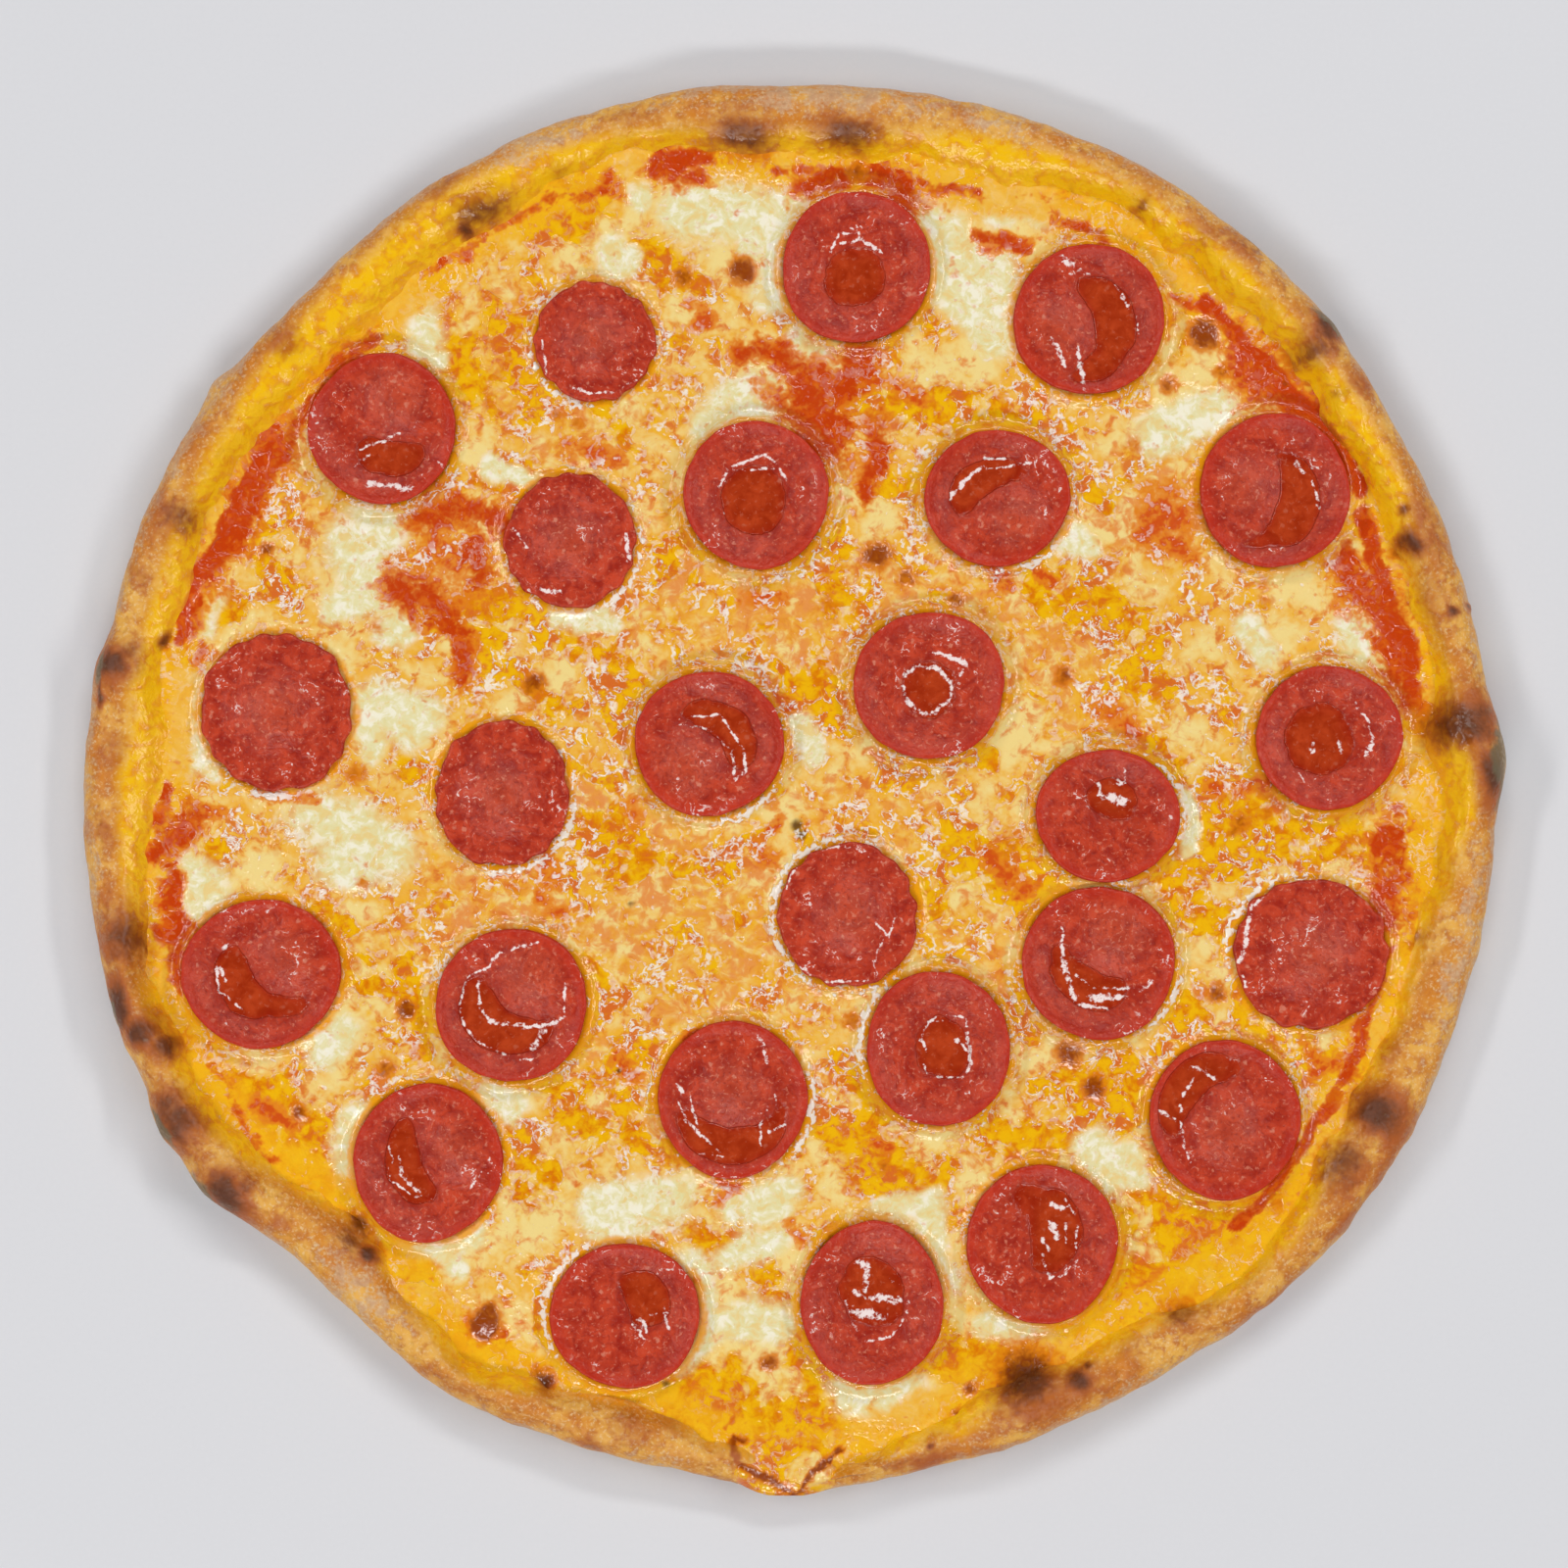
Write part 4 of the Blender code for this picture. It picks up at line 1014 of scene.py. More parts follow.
colour = mixed(toast_at, colour, "#b25a1a")
char_at = ragged_step(values["char"], broken, 0.7, 0.15, 1.0, 0.88)
colour = mixed(char_at, colour, CHARRED)
ash_at = ragged_step(values["ash"], broken, 0.8, 0.25, 0.75, 0.85)
colour = mixed(ash_at, colour, "#6b6044")
dust = most(values["flour"], ramp(values["across"], 0.26, 0.02, 0.0, 0.90))
dust = scaled(broken, 1.2, times(dust, broad))
dust = ragged_step(dust, grit, 0.9, 0.60, 1.02, 0.55)
colour = mixed(dimmed(dust, toast_at, 0.7), colour, "#d8bd98")
gloss = ramp(oily, 0.0, 1.0, 0.50, 0.24)
pore = times(ramp(cells(520.0), 0.0, 0.45), ramp(oily, 0.0, 0.8, 1.0, 0.25))
relief = scaled(pore, 0.45, scaled(fine, 1.1, broad))
close_finish(colour, gloss, relief, 0.0005, 1.45)
dough_finish = finish
print("dough nodes:", len(tree.nodes))

# %% Make the crust and put it in place of its solid
marks = {"across": across, "char": char, "toast": toast, "ash": ash}
marks.update({"flour": flour, "stain": stain, "oiled": oiled})
crust = lofted("crust_baked", rings, (0.0, 0.0, 0.0), (0.0, 0.0, BASE_THICKNESS), dough_finish, marks)
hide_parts("crust")
print("crust faces:", len(crust.data.polygons))

# %% [markdown]
# ## Sauce
# The sauce is crushed tomato, cooked on until it is thick. It shows in bays along the rim and where
# the cheese is torn. It is made as a whole disc under the cheese, with low lumps of pulp.

# %% Sauce surface
SAUCE_SIDE = 200
disc_x, disc_y = disc_grid(SAUCE_SIDE)
around = np.degrees(np.arctan2(disc_y, disc_x))
reach = smooth_ring(TOPPING_RADII, around) + 1.0
x, y = disc_x * reach, disc_y * reach
z = SAUCE_TOP + 1.0 + 0.22 * cloud(x, y, 7.0, 3, 401) + 0.10 * cloud(x, y, 2.5, 2, 411)
near_edge = np.hypot(disc_x, disc_y)
z = z + 0.9 * ease(near_edge, 0.955, 1.0)
wet = ease(cloud(x, y, 9.0, 3, 421), -0.2, 0.6)
print("sauce height in mm:", z.min().round(2), "to", z.max().round(2))

# %% Finish: cooked tomato pulp, wet and grainy, deep red with orange where oil floats on it
finish, tree, here = new_finish("cooked tomato pulp")
wet_value = read_marks("wet")["wet"]
pulp = noise(330.0, 3.0, 0.6, 0.5)
flecks = noise(800.0, 1.5)
tone = soft_step(pulp, 0.35, 0.65)
colour = mixed(tone, "#c43a06", "#de5c10")
floats = ragged_step(wet_value, pulp, 0.7, 0.75, 1.30, 0.65)
colour = mixed(floats, colour, "#e07c18")
seeds = soft_step(flecks, 0.60, 0.72, 0.3)
colour = mixed(seeds, colour, "#e08a58")
relief = scaled(flecks, 0.45, pulp)
close_finish(colour, 0.12, relief, 0.0008, 1.4)
sauce = spread("sauce_pulp", x, y, z, SAUCE_TOP - 1.2, finish, {"wet": wet})
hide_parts("sauce")
print("sauce faces:", len(sauce.data.polygons))

# %% [markdown]
# ## Cheese
# Grated and torn mozzarella has melted into one sheet. It is smooth and pale where the torn pieces
# lay, and curdled in between, where fat stands in amber pools among cream and salmon curds. The sheet
# is a disc grid of about 1 mm. Its height starts from the swell of the solid; it rises at mozzarella
# and blisters, is flat where oil stands, drops under the sauce where it is torn, and stays below the
# slices.

# %% Disc for the cheese, with a tongue that ran over the rim
CHEESE_SIDE = 298
disc_x, disc_y = disc_grid(CHEESE_SIDE)
around = np.degrees(np.arctan2(disc_y, disc_x))
tongue = angle_bump(around, SPILL_ANGLE_DEG, 3.6)
edge = smooth_ring(TOPPING_RADII, around)
reach = edge + 6.0 + (165.2 - edge - 6.0) * np.clip(1.15 * tongue, 0.0, 1.0)
x, y = disc_x * reach, disc_y * reach
from_centre = np.hypot(x, y)
wx, wy = bent(x, y, 2.0, 9.0, 4, 501)
print("cheese cell in mm:", round(float(2 * 150 / CHEESE_SIDE), 2))

# %% Read the topping strokes at every point
moz = painted(wx, wy, MOZZARELLA, 0.8)
bare = painted(wx, wy, BARE_SAUCE, 1.25)
fringe = [(*ends, 1.5 * half) for *ends, half in BARE_SAUCE]
stain = np.maximum(0.8 * painted(wx, wy, STAINS, 0.7), 0.9 * painted(wx, wy, fringe, 1.1))
along_rim = rim_arcs(wx, wy, SAUCE_ARCS)
stain = np.maximum(stain, along_rim)
bare = np.maximum(0.9 * bare, 1.1 * along_rim - 0.3)
moz = moz * (1.0 - 0.8 * along_rim)
oil = painted(wx, wy, AMBER_OIL, 0.9)
brown = spotted(*bent(x, y, 0.4, 3.0, 2, 521), BROWN_SPOTS, 1.35)
brown = np.maximum(brown, burnt_edge(x, y, 1.1))
brown = np.maximum(brown, 0.45 * rim_marks(wx, wy, RIM_TOAST))
brown = np.maximum(brown, 0.95 * rim_marks(wx, wy, RIM_CHAR, 1.6))
char = np.maximum(rim_marks(wx, wy, RIM_CHAR, 1.1), spotted(x, y, DARK_FLECKS))
pale = painted(wx, wy, PALE_ZONES, 0.7)
salmon = painted(wx, wy, SALMON_ZONES, 0.8)
near_rim = ease(from_centre, edge - 13.0, edge - 2.0)
frothless = np.maximum(0.7 * near_rim, painted(wx, wy, CALM_ZONES, 0.7))
print("share of mozzarella, bare sauce, oil:", [round(float(a.mean()), 2) for a in (moz, bare, oil)])

# %% Height of the cheese
# Slices that fried in a frill of foam, painted pale as foam and glints together: the side it faces,
# in degrees, and its half width
FRILLS = {
    3: (225, 70), 8: (-30, 100), 10: (-40, 80), 15: (180, 160), 17: (150, 60), 20: (-20, 60), 14: (20, 70),
    11: (-60, 40), 24: (160, 70), 6: (-60, 50), 16: (-30, 40), 21: (160, 60), 9: (-90, 40),
}
# Heights in mm of lumps, curds, mozzarella patches and blisters, and of the climb up to the rim
LUMPS, CURDS, PATCHES, BLISTERS, CLIMB = 0.30, 0.22, 0.45, 1.0, 0.45
# Depths in mm under oil and under stains, and down to the sauce where the cheese is torn
UNDER_OIL, UNDER_STAINS, TORN_DEPTH = 0.20, 0.25, 1.4
lumps = cloud(x, y, 12.0, 3, 541)
curds = cloud(x, y, 4.0, 3, 551)
rough = (1.0 - 0.8 * moz) * (1.0 - 0.6 * oil)
z = cheese_swell(x, y) + LUMPS * lumps * (1.0 - 0.5 * oil) + CURDS * curds * rough
z = z + PATCHES * moz - UNDER_OIL * oil + BLISTERS * spotted(x, y, BROWN_SPOTS, 1.1) - UNDER_STAINS * stain
z = z + CLIMB * ease(from_centre, edge - 6.0, edge + 3.5) ** 1.5
torn = ease(bare + 0.35 * curds + 0.30 * cloud(x, y, 2.6, 2, 561), 1.25, 1.70)
z = np.maximum(z, SAUCE_TOP + TORN_DEPTH) - TORN_DEPTH * torn
halo = np.zeros_like(x)
frill = np.zeros_like(x)
for number, seat in enumerate(SEATS, start=1):
    way, under = slice_under(number, x, y)
    ring = np.exp(-(((way - 1.03) / 0.09) ** 2))
    halo = np.maximum(halo, ring)
    limit = seat + under - 0.12
    z = z + (0.65 + 0.50 * np.clip(limit - z, 0.0, 3.0)) * ring
    z = np.where(way < 1.04, np.minimum(z, limit), z)
    if number in FRILLS:
        facing, half_deg = FRILLS[number]
        turned = np.degrees(np.arctan2(y - SLICES[number - 1][1], x - SLICES[number - 1][0]))
        frill_foam_and_glints = np.exp(-(((way - 1.08) / 0.08) ** 2)) * angle_bump(turned, facing, half_deg)
        frill = np.maximum(frill, frill_foam_and_glints)
print("cheese height in mm:", z.min().round(2), "to", z.max().round(2))

# %% Lay the tongue over the pressed-down rim
rim_radius = crust_radius(around)
rim_crest = crest_height(around)
crest_at = crest_radius(rim_radius, edge)
inner_rise = FOOT_HEIGHT + (rim_crest - FOOT_HEIGHT) * ease(from_centre, edge - 1.0, crest_at)
past_crest = np.clip((from_centre - crest_at) / (rim_radius - crest_at), 0.0, 1.0)
outer_fall = rim_crest - (rim_crest - RIM_BELLY_HEIGHT) * past_crest**2.2
over_rim = np.where(from_centre < crest_at, inner_rise, outer_fall) + 0.5
on_tongue = ease(tongue, 0.14, 0.36) * ease(from_centre, 150.0, 154.0)
z = z + on_tongue * (np.maximum(over_rim, z) - z)
oil = np.maximum(oil, 0.4 * on_tongue)
near_rim = near_rim * (1.0 - 0.7 * on_tongue)
print("tongue reaches mm:", from_centre.max().round(1))

# %% [markdown]
# ### Finish: melted mozzarella
# Melted cheese is a soft solid full of fat. Pure patches are ivory, smooth and satiny. Between them
# curds stick out of a film of amber oil. Where oil meets a curd it bends up, and this edge catches the
# light as a thin wandering line. One noise with many octaves decides curd or oil, pushed one way or the
# other by the strokes, and the bump has a step at that edge, so colour and shine belong together. The
# glints on these edges are finer than a pixel, so they are painted into the colour as pale highlights,
# together with pale bubbles of froth beside them that are partly painted glints too.

# %% Melted mozzarella: noises, and where curd, oil and mozzarella lie
finish, tree, here = new_finish("melted mozzarella")
values = read_marks(
    "moz", "oil", "stain", "brown", "pale", "salmon", "halo", "near_rim", "bare", "char", "calm", "frill"
)
curd = noise(170.0, 2.6, 0.62, 0.5)
fine = noise(640.0, 1.5, 0.5, 0.4)
blotch = noise(88.0, 4.0, 0.6, 0.3)
mottle = noise(300.0, 3.0, 0.6, 0.5)
broken = minus(curd, 0.5)
fleck = minus(fine, 0.5)
moz_at = ragged_step(scaled(broken, 1.1, values["moz"]), fleck, 0.3, 0.16, 0.90)
wet_parts = (
    (broken, 2.0), (minus(blotch, 0.5), 1.2), (fleck, 0.35),
    (values["halo"], 0.30), (values["near_rim"], 0.25), (values["pale"], -0.15),
)
wet = times(values["oil"], 0.55)
for part, gain in wet_parts:
    wet = scaled(part, gain, wet)
oil_at = soft_step(wet, -0.12, 0.36)
pool_at = soft_step(wet, 0.14, 0.32)
print("cheese nodes so far:", len(tree.nodes))

# %% Its colours, from cream through salmon and amber
rosy = scaled(values["salmon"], 0.15, mottle)
rosy = ragged_step(rosy, values["pale"], -0.06, 0.49, 0.70, 0.85)
cream = mixed(rosy, "#f8dc8c", "#ea8638")
golden = ragged_step(blotch, curd, 0.5, 0.57, 0.84, 0.9)
cream = mixed(golden, cream, "#f5b02c")
amber = mixed(soft_step(mottle, 0.36, 0.66), "#f6ba0c", "#e07a06")
colour = mixed(oil_at, cream, amber)
bits = ragged_step(blotch, mottle, 1.0, 1.03, 1.24, 0.75)
colour = mixed(bits, colour, "#dc6a30")
ivory = mixed(fine, "#e6da98", "#f3eaba")
ivory = mixed(soft_step(mottle, 0.48, 0.64, 0.65), ivory, "#f2cc78")
# The whitest mottling of the mozzarella is partly milky curd and partly painted sheen
ivory = mixed(soft_step(mottle, 0.50, 0.36, 0.75), ivory, "#fffae8")
colour = mixed(moz_at, colour, ivory)
print("cheese nodes so far:", len(tree.nodes))

# %% Oil at the rim and round the slices, then sauce that shows through, then brown blisters
rim_oil = ragged_step(values["near_rim"], broken, 1.3, 0.30, 0.85, 0.85)
colour = mixed(rim_oil, colour, mixed(mottle, "#fcc824", "#f0a010"))
# Partly painted light: the oil ring round each slice is its own colour made lighter, to lift the shadow
# under the slices' edges
oil_ring_and_painted_light = ragged_step(values["halo"], broken, 1.6, 0.35, 0.95, 0.85)
colour = mixed(oil_ring_and_painted_light, colour, "#f4a014")
red_at = scaled(fleck, 0.9, scaled(broken, 1.7, values["stain"]))
colour = mixed(soft_step(red_at, 0.20, 0.60, 0.9), colour, "#e88420")
colour = mixed(soft_step(red_at, 0.60, 0.95, 0.9), colour, "#d44c16")
sauce_at = ragged_step(scaled(broken, 1.2, values["bare"]), fleck, 0.8, 0.16, 0.84, 0.90)
colour = mixed(sauce_at, colour, mixed(rosy, "#c83e08", "#e06614"))
toast = scaled(fleck, 0.7, values["brown"])
tan_at = soft_step(toast, 0.06, 0.50, 0.9)
colour = mixed(tan_at, colour, "#e07c0e")
colour = mixed(soft_step(toast, 0.40, 0.90, 0.9), colour, "#8c3604")
char_at = ragged_step(values["char"], broken, 0.7, 0.15, 1.0, 0.88)
colour = mixed(char_at, colour, CHARRED)
print("cheese nodes so far:", len(tree.nodes))

# %% Its froth and painted glints: thin raised edges where oil meets curd, rings of bubbles, bright grains
patchy = soft_step(blotch, 0.49, 0.58)
edge_line = times(line_at(wet, 0.20, 0.11, 0.02), ramp(patchy, 0.0, 1.0, 0.35, 0.9))
small_ring = times(line_at(mottle, 0.54, 0.036, 0.006), patchy)
froth_and_glints = times(most(edge_line, small_ring), soft_step(fine, 0.40, 0.54))
froth_and_glints = most(froth_and_glints, soft_step(fine, 0.68, 0.76, 0.8))
for by, share in ((tan_at, 1.0), (sauce_at, 0.9), (values["calm"], 0.9)):
    froth_and_glints = dimmed(froth_and_glints, by, share)
# The frill of foam round some slices is painted pale, partly as foam and partly as glints
frill_foam_and_glints = ragged_step(fine, values["frill"], 0.50, 0.82, 0.94)
froth_and_glints = dimmed(most(froth_and_glints, frill_foam_and_glints), moz_at, 0.55)
# Painted highlights: the froth lines, rings of bubbles and bright grains are mixed in near white, partly
# pale froth and partly glints
colour = mixed(times(froth_and_glints, 0.85), colour, "#fffaf0")
gloss = ramp(pool_at, 0.0, 1.0, 0.18, 0.08)
level = scaled(froth_and_glints, 0.30, scaled(pool_at, -0.45, 1.0))
level = dimmed(scaled(fleck, 0.9, level), moz_at, 0.55)
level = scaled(moz_at, 0.8, level)
close_finish(colour, gloss, level, 0.00034, 1.5)
print("cheese nodes:", len(tree.nodes))

# %% Make the cheese and put it in place of its solid
redder = np.maximum(bare, 1.3 * along_rim - 0.25)
marks = {
    "moz": moz, "oil": oil, "stain": stain, "brown": brown, "pale": pale, "salmon": salmon, "halo": halo,
    "near_rim": near_rim, "bare": redder, "char": char, "calm": frothless, "frill": frill,
}
cheese = spread("cheese_melted", x, y, z, SAUCE_TOP - 1.0, finish, marks)
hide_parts("cheese")
print("cheese faces:", len(cheese.data.polygons))

# %% [markdown]
# ## Pepperoni
# Each slice is rings of points from the centre of its underside, out to the edge, up the cut edge and
# back over the top. Melted fat fills its low places to a level, so the top is the higher of the meat
# and that level, and the depth of fat is kept as an attribute. The glints where wet fat bends up are
# finer than a pixel, so they are strokes as well, and the finish paints them into the meat's colour as
# pale highlights.

# %% Finish: cured sausage, fried in its own fat
finish, tree, here = new_finish("cured sausage")
values = read_marks("fat_depth", "way_out", "below", "raised", "shore", "glinting")
meat = noise(280.0, 2.5, 0.6, 0.5)
grain = noise(980.0, 2.5, 0.6, 0.4)
tone = soft_step(meat, 0.27, 0.73)
colour = mixed(tone, "#9e1c06", "#ce4424")
# Painted sheen: the tops of the blisters are lightened towards pink, where light catches them
high = ragged_step(values["raised"], grain, 0.7, 0.35, 1.35, 0.24)
colour = mixed(high, colour, "#d26040")
specks = scaled(meat, -0.5, scaled(grain, -0.40, cells(300.0)))
colour = mixed(ramp(specks, -0.28, -0.40, 0.0, 0.45), colour, "#e09a80")
colour = mixed(soft_step(grain, 0.45, 0.31, 0.48), colour, "#861a0a")
colour = mixed(soft_step(grain, 0.58, 0.70, 0.60), colour, "#de8468")
colour = mixed(soft_step(values["way_out"], 0.76, 0.965, 0.60), colour, "#c62c12")
# Painted shade: the meat darkens in a groove round each pool of fat
painted_groove_shade = ragged_step(values["shore"], meat, 1.4, -1.6, 0.8, 0.22)
colour = mixed(painted_groove_shade, colour, "#8c200a")
print("sausage nodes so far:", len(tree.nodes))

# %% Its pools of fat, its painted glints and its surface
wobble = scaled(meat, 0.10, values["fat_depth"])
pool_at = soft_step(wobble, 0.03, 0.13)
fat = mixed(soft_step(wobble, 0.05, 0.55), "#9a2a10", mixed(tone, "#a2340e", "#ba461a"))
colour = mixed(soft_step(wobble, -0.06, 0.34, 0.58), colour, fat)
colour = mixed(values["below"], colour, "#a83224")
# Painted highlights: the glint strokes, and thin lines where the meat's noise crosses a level, are mixed
# in near white
shine = ragged_step(scaled(meat, 1.3, values["glinting"]), grain, 1.5, 2.20, 2.52, 0.88)
glint = times(line_at(meat, 0.58, 0.022, 0.004, 0.75), soft_step(grain, 0.47, 0.57))
glint = times(glint, soft_step(noise(95.0, 1.0), 0.56, 0.64))
colour = mixed(most(shine, dimmed(glint, pool_at, 1.0)), colour, "#fff2ee")
gloss = ramp(pool_at, 0.0, 1.0, 0.38, 0.10)
relief = dimmed(scaled(grain, 0.8, meat), pool_at, 0.94)
relief = scaled(soft_step(wobble, 0.02, 0.20), -0.45, relief)
close_finish(colour, gloss, relief, 0.00030, 1.38)
sausage_finish = finish
print("sausage nodes:", len(tree.nodes))

# %% Hollows in the slices: a point, half width, half height and depth in mm
HOLLOWS = {
    1: (875, 277, 34, 32, 0.50), 2: (1130, 312, 30, 38, 0.35), 4: (400, 455, 36, 28, 0.40),
    5: (768, 517, 40, 38, 0.55), 6: (1000, 498, 34, 26, 0.35), 7: (1322, 515, 26, 48, 0.45),
    11: (735, 750, 34, 34, 0.25), 12: (945, 705, 28, 30, 0.40), 13: (1354, 758, 46, 42, 0.50),
    14: (1137, 812, 26, 24, 0.35), 16: (1105, 1000, 36, 26, 0.35), 18: (240, 1003, 28, 36, 0.45),
    19: (500, 1030, 40, 46, 0.30), 20: (748, 1162, 50, 20, 0.20), 21: (965, 1065, 28, 33, 0.45),
    22: (420, 1190, 30, 38, 0.45), 23: (1208, 1120, 28, 40, 0.20), 24: (663, 1322, 26, 28, 0.50),
    25: (895, 1325, 38, 40, 0.55), 26: (1080, 1262, 28, 44, 0.50),
}


def hollow(number, x, y):
    """Depth of a slice's hollow: a flat-bottomed bell, round or oval, about its point."""
    if number not in HOLLOWS:
        return np.zeros_like(x)
    px, py, half_x, half_y, depth = HOLLOWS[number]
    cx, cy = from_photo(px, py)
    away = np.hypot((x - cx) / (half_x * MM_PER_PIXEL), (y - cy) / (half_y * MM_PER_PIXEL))
    return depth * np.exp(-(away**4))


print("slices with a hollow:", len(HOLLOWS))

# %% Painted highlights: glints of wet fat on the slices, as strokes
GLINTS = (
    (848, 262, 856, 242, 3), (856, 241, 876, 242, 3), (876, 247, 900, 260, 4), (858, 252, 876, 248, 3),
    (1080, 266, 1092, 272, 6), (1098, 278, 1110, 282, 4), (1136, 292, 1142, 302, 3),
    (1142, 302, 1150, 315, 5), (1158, 325, 1160, 342, 3), (1072, 350, 1085, 375, 6),
    (1098, 360, 1105, 400, 6), (370, 460, 410, 444, 4), (365, 478, 380, 465, 4), (425, 438, 430, 430, 3),
    (380, 495, 420, 500, 7), (440, 470, 460, 480, 4), (745, 477, 780, 466, 3), (780, 466, 795, 480, 4),
    (795, 480, 803, 492, 4), (745, 480, 790, 481, 3), (742, 480, 728, 512, 3), (968, 510, 985, 490, 4),
    (985, 490, 1002, 478, 4), (1002, 468, 1025, 470, 3), (1005, 480, 1030, 478, 3),
    (1030, 478, 1050, 473, 4), (1312, 460, 1318, 475, 3), (1318, 475, 1328, 484, 5),
    (1337, 495, 1343, 520, 4), (692, 735, 735, 729, 3), (735, 729, 745, 745, 3), (745, 745, 760, 765, 3),
    (760, 765, 760, 788, 4), (692, 740, 725, 745, 3), (725, 745, 745, 765, 3), (748, 765, 750, 794, 4),
    (750, 796, 760, 790, 4), (922, 690, 935, 680, 5), (935, 680, 955, 682, 5), (955, 682, 968, 695, 5),
    (968, 695, 970, 712, 5), (970, 712, 955, 726, 5), (955, 726, 940, 728, 5), (940, 728, 925, 718, 4),
    (925, 718, 922, 700, 4), (950, 665, 985, 678, 5), (985, 680, 978, 690, 4), (1380, 718, 1393, 735, 4),
    (1393, 735, 1397, 755, 4), (1397, 755, 1392, 768, 6), (1337, 757, 1338, 766, 5),
    (1364, 756, 1366, 766, 5), (1135, 795, 1140, 800, 8), (1124, 812, 1146, 818, 11),
    (1120, 798, 1122, 815, 4), (1145, 785, 1148, 800, 4), (1082, 945, 1084, 975, 4),
    (1082, 975, 1090, 1000, 6), (1090, 1000, 1095, 1020, 5), (1098, 995, 1115, 1008, 4),
    (1110, 1017, 1145, 1015, 7), (1125, 1006, 1160, 1008, 4), (1160, 1010, 1175, 1000, 5),
    (1100, 1024, 1130, 1027, 4), (232, 968, 235, 962, 4), (228, 985, 232, 1000, 4),
    (224, 985, 225, 1008, 3), (225, 1010, 252, 1030, 3), (480, 995, 500, 985, 3),
    (480, 995, 470, 1020, 3), (470, 1020, 475, 1045, 3), (475, 1045, 490, 1062, 3),
    (490, 1062, 520, 1076, 3), (520, 1078, 545, 1078, 3), (500, 985, 512, 970, 4),
    (512, 970, 550, 962, 4), (490, 1000, 490, 1025, 4), (490, 1025, 500, 1040, 4),
    (500, 1040, 535, 1046, 5), (535, 1048, 562, 1045, 4), (545, 1068, 556, 1050, 8),
    (560, 1045, 577, 1035, 3), (577, 1030, 578, 1000, 3), (692, 1105, 698, 1112, 5),
    (692, 1120, 700, 1138, 3), (706, 1118, 712, 1145, 3), (700, 1142, 735, 1172, 4),
    (715, 1176, 738, 1178, 3), (790, 1113, 795, 1130, 3), (785, 1125, 775, 1150, 3),
    (775, 1150, 778, 1166, 3), (802, 1145, 785, 1152, 3), (772, 1045, 784, 1082, 4),
    (945, 1042, 955, 1035, 3), (955, 1040, 968, 1040, 3), (966, 1034, 985, 1036, 3),
    (985, 1036, 988, 1052, 3), (986, 1052, 990, 1085, 4), (990, 1085, 982, 1098, 3),
    (982, 1099, 950, 1098, 3), (950, 1098, 942, 1085, 3), (945, 1075, 940, 1060, 3),
    (937, 1060, 945, 1045, 3), (975, 1060, 985, 1070, 4), (400, 1170, 402, 1185, 3),
    (408, 1180, 412, 1196, 5), (398, 1190, 400, 1200, 3), (400, 1202, 420, 1217, 3),
    (415, 1200, 430, 1215, 4), (425, 1218, 442, 1221, 3), (500, 1180, 490, 1200, 3),
    (507, 1185, 497, 1200, 3), (480, 1212, 486, 1204, 3), (1210, 1085, 1222, 1088, 4),
    (1222, 1090, 1235, 1097, 6), (1215, 1097, 1205, 1115, 4), (1205, 1115, 1202, 1135, 3),
    (1180, 1132, 1198, 1140, 5), (1203, 1140, 1205, 1165, 4), (1205, 1165, 1215, 1187, 4),
    (645, 1342, 656, 1345, 4), (656, 1345, 660, 1357, 4), (645, 1350, 658, 1363, 3),
    (665, 1339, 680, 1337, 4), (677, 1330, 683, 1355, 3), (875, 1285, 885, 1290, 8),
    (885, 1290, 882, 1315, 6), (872, 1315, 895, 1325, 6), (870, 1337, 902, 1340, 9),
    (895, 1322, 925, 1325, 8), (908, 1302, 916, 1308, 4), (863, 1325, 868, 1345, 3),
    (868, 1345, 878, 1364, 3), (880, 1366, 910, 1361, 3), (910, 1361, 926, 1335, 3),
    (1073, 1226, 1085, 1230, 6), (1085, 1220, 1094, 1236, 4), (1072, 1245, 1078, 1260, 7),
    (1062, 1262, 1068, 1275, 5), (1085, 1245, 1088, 1265, 4), (1062, 1276, 1070, 1300, 4),
    (1070, 1302, 1083, 1299, 3), (1097, 1283, 1085, 1298, 3), (1098, 1250, 1096, 1275, 3),
    (585, 397, 602, 402, 3), (602, 403, 630, 402, 3), (635, 398, 650, 388, 3), (554, 350, 558, 385, 3),
    (803, 905, 812, 882, 3), (812, 882, 833, 866, 3), (833, 865, 870, 863, 3), (870, 864, 886, 874, 3),
    (893, 940, 905, 955, 3), (905, 955, 914, 932, 3), (900, 958, 890, 985, 3), (890, 985, 897, 1000, 3),
    (840, 1000, 885, 1000, 3), (805, 977, 828, 995, 3), (1292, 906, 1276, 925, 4),
    (1276, 925, 1268, 950, 5), (1269, 955, 1265, 980, 6), (1264, 990, 1268, 1006, 4),
    (550, 600, 575, 607, 5), (640, 545, 642, 575, 5), (525, 540, 540, 560, 4),
)
print("glint strokes:", len(GLINTS))

# %% Rings of a slice
SLICE_AROUND = 144
BLISTERED = ("dome", "ringed", "half")
THIN_GLINTS = [(*ends, 0.72 * half) for *ends, half in GLINTS]
TOP_WAYS = np.linspace(0.0, 1.0, 46)[1:]
UNDER_WAYS = np.array([0.2, 0.4, 0.6, 0.8, 0.95])


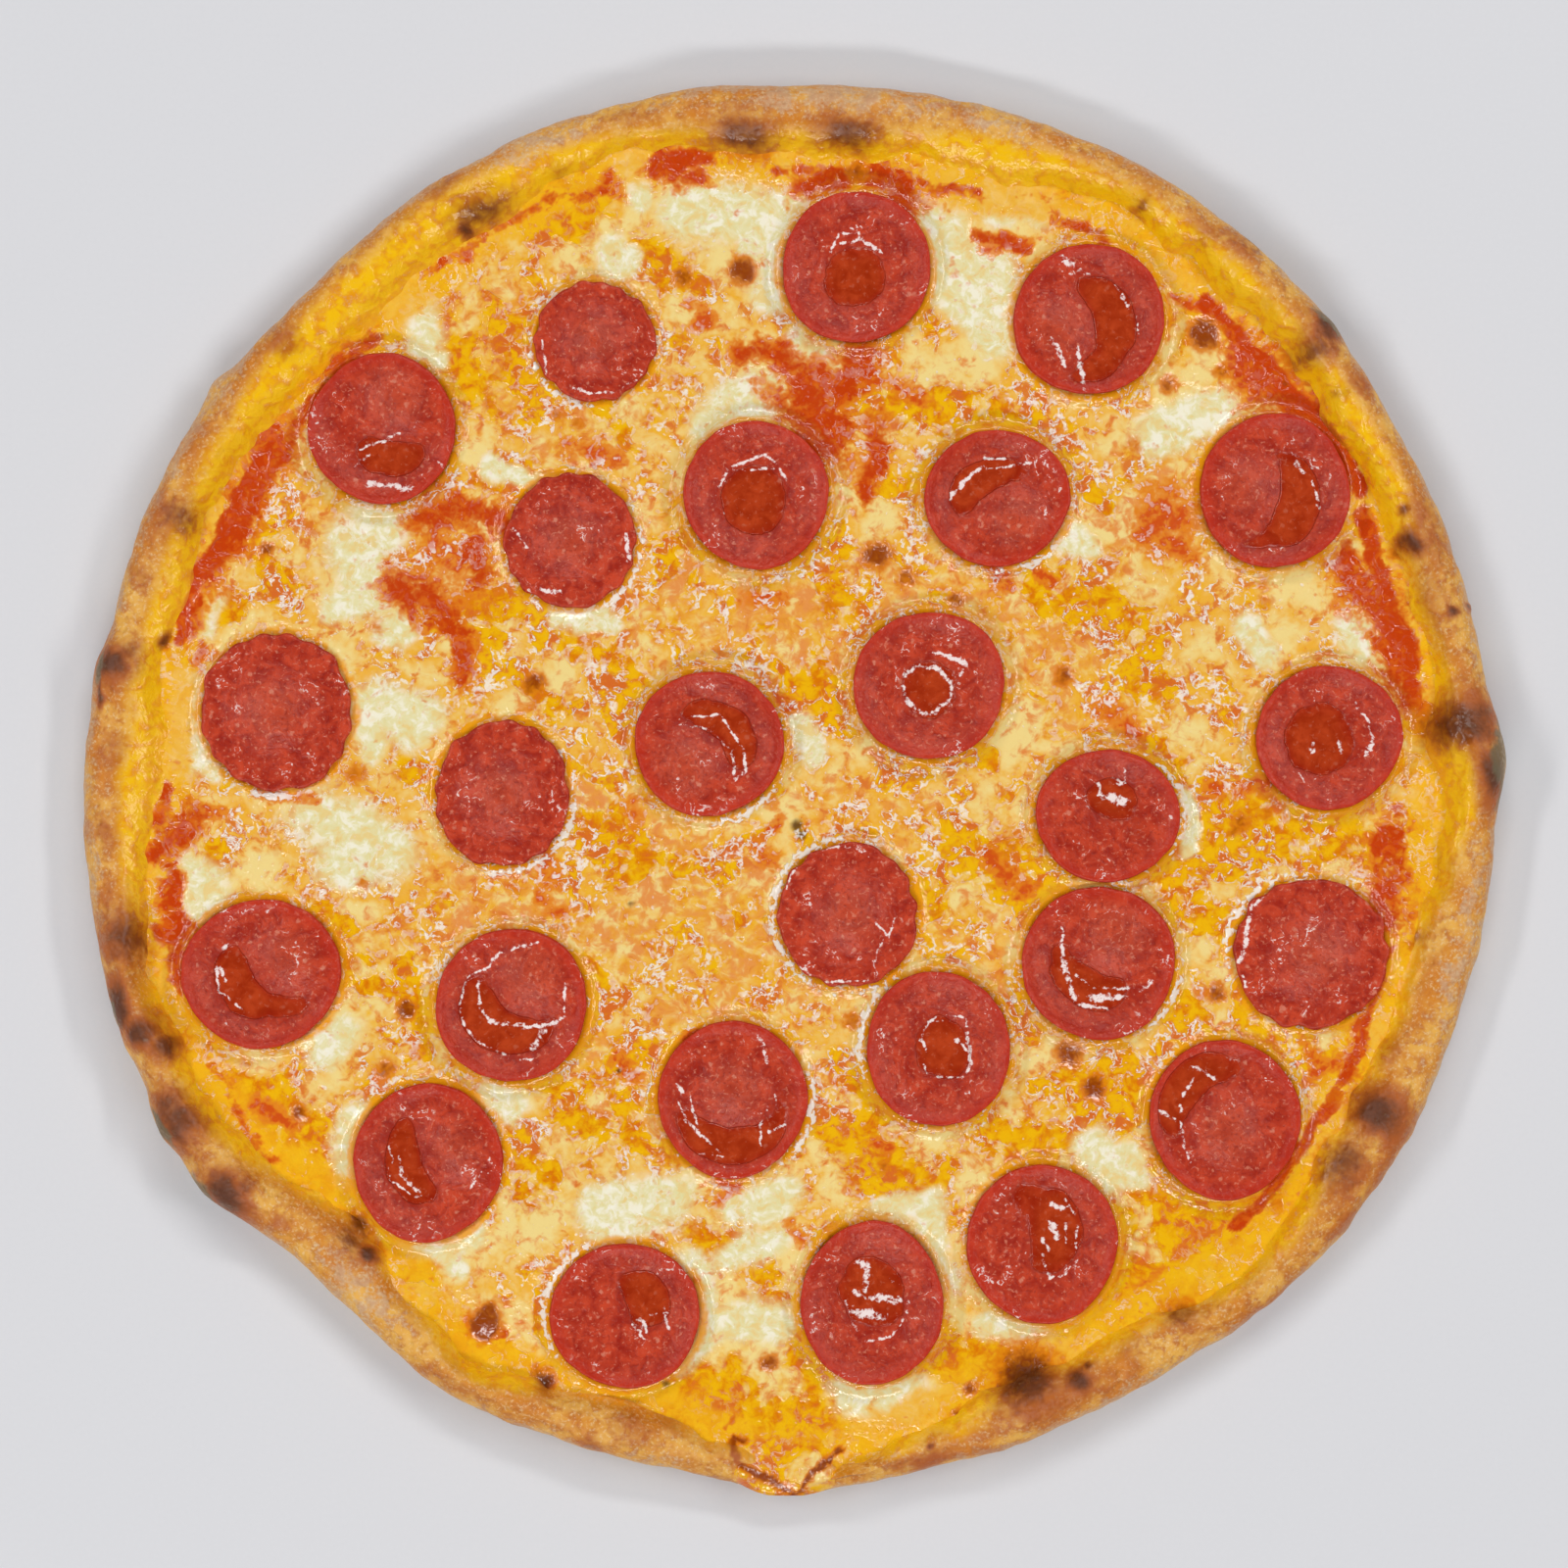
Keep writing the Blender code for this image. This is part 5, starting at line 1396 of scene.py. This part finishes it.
def ragged(number, turn):
    """Frayed edge of a domed slice: short waves whose size and phase come from its number."""
    amount = 0.020 if SLICES[number - 1][4] == "dome" else 0.004
    phases = np.random.default_rng(500 + number).uniform(0.0, 2.0 * math.pi, 5)
    return amount * sum(np.sin((7 + 3 * k) * turn + phases[k]) for k in range(5)) / 2.0


def steepness(field, x, y):
    """Slope of a field over the plan: its differences along both grid lines, solved for x and y."""
    field_out, x_out, y_out = (np.gradient(a, axis=0) for a in (field, x, y))
    field_on, x_on, y_on = ((np.roll(a, -1, axis=1) - np.roll(a, 1, axis=1)) / 2.0 for a in (field, x, y))
    area = x_out * y_on - x_on * y_out
    area = np.where(np.abs(area) < 1e-6, 1e-6, area)
    along_x = (field_out * y_on - field_on * y_out) / area
    along_y = (field_on * x_out - field_out * x_on) / area
    return np.hypot(along_x, along_y)


def slice_rings(number):
    """Rings from the underside over the edge to the top, with the values that the finish reads."""
    cx, cy, half_width, half_height, form, _, fat_depth = SLICES[number - 1]
    seat = SEATS[number - 1]
    turn = np.arange(SLICE_AROUND) * 2.0 * math.pi / SLICE_AROUND
    outline = slice_outline(number, turn) + ragged(number, turn)
    wall_ways = np.array([0.985, 1.0, 1.0, 0.985])
    wall_lift = np.array([0.12, 0.45, 1.10, 1.42])
    ways = np.concatenate((UNDER_WAYS, wall_ways, 0.965 * TOP_WAYS[::-1])).reshape(-1, 1)
    lift = np.concatenate((0.0 * UNDER_WAYS, wall_lift, np.full(len(TOP_WAYS), SLICE_THICKNESS)))
    x = cx + half_width * ways * outline * np.cos(turn)
    y = cy + half_height * ways * outline * np.sin(turn)
    _, under = slice_under(number, x, y)
    on_top = ease(lift, 1.0, 1.45).reshape(-1, 1)
    detail = 0.12 * cloud(x, y, 4.0, 3, 700 + 7 * number) + 0.14 * cloud(x, y, 10.0, 2, 900 + 5 * number)
    lip = 0.14 * np.exp(-(((ways - 0.93) / 0.05) ** 2))
    z = seat + under + lift.reshape(-1, 1)
    z = z + on_top * (detail * (1.0 - ways**6) + lip - hollow(number, x, y))
    inside = (ways < 0.88) & (on_top > 0.9)
    level = float(np.where(inside, z, 99.0).min()) + fat_depth
    shore = np.clip((level - z) / np.maximum(steepness(z, x, y), 0.10), -2.5, 2.5)
    shore = np.where(inside, shore, -2.5)
    depth = np.clip(level - z, -1.5, 2.0) * on_top - 2.0 * (1.0 - on_top)
    if fat_depth == 0.0:
        depth = depth * 0.0 - 1.5
        shore = shore * 0.0 - 2.5
    else:
        z = np.where(inside, np.maximum(z, level), z)
    flat = np.zeros_like(z)
    raised = ease(under, 1.2, 3.2) * on_top * (1.0 - ways**3) if form in BLISTERED else flat
    below = (1.0 - on_top) * (lift.reshape(-1, 1) < 0.05) + flat
    way_out = (0.80 if form == "dome" else 1.0) * ways + flat
    glinting = on_top * painted(*bent(x, y, 0.35, 2.5, 2, 1301), THIN_GLINTS, 0.9)
    marks = {"fat_depth": depth, "shore": shore, "way_out": way_out, "below": below, "raised": raised}
    return np.stack((x, y, z), axis=-1), {**marks, "glinting": glinting}


rings, marks = slice_rings(1)
print("points in a slice:", rings[..., 0].size, "fat in mm:", marks["fat_depth"].max().round(2))

# %% Make the 26 slices
for number in range(1, len(SLICES) + 1):
    node = f"pepperoni_{number:02d}"
    rings, marks = slice_rings(number)
    start, end = rings[0].mean(axis=0), rings[-1].mean(axis=0)
    piece = lofted(f"{node}_fried", rings, start, end, sausage_finish, marks)
    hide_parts(node)
print("slices:", len(SLICES))
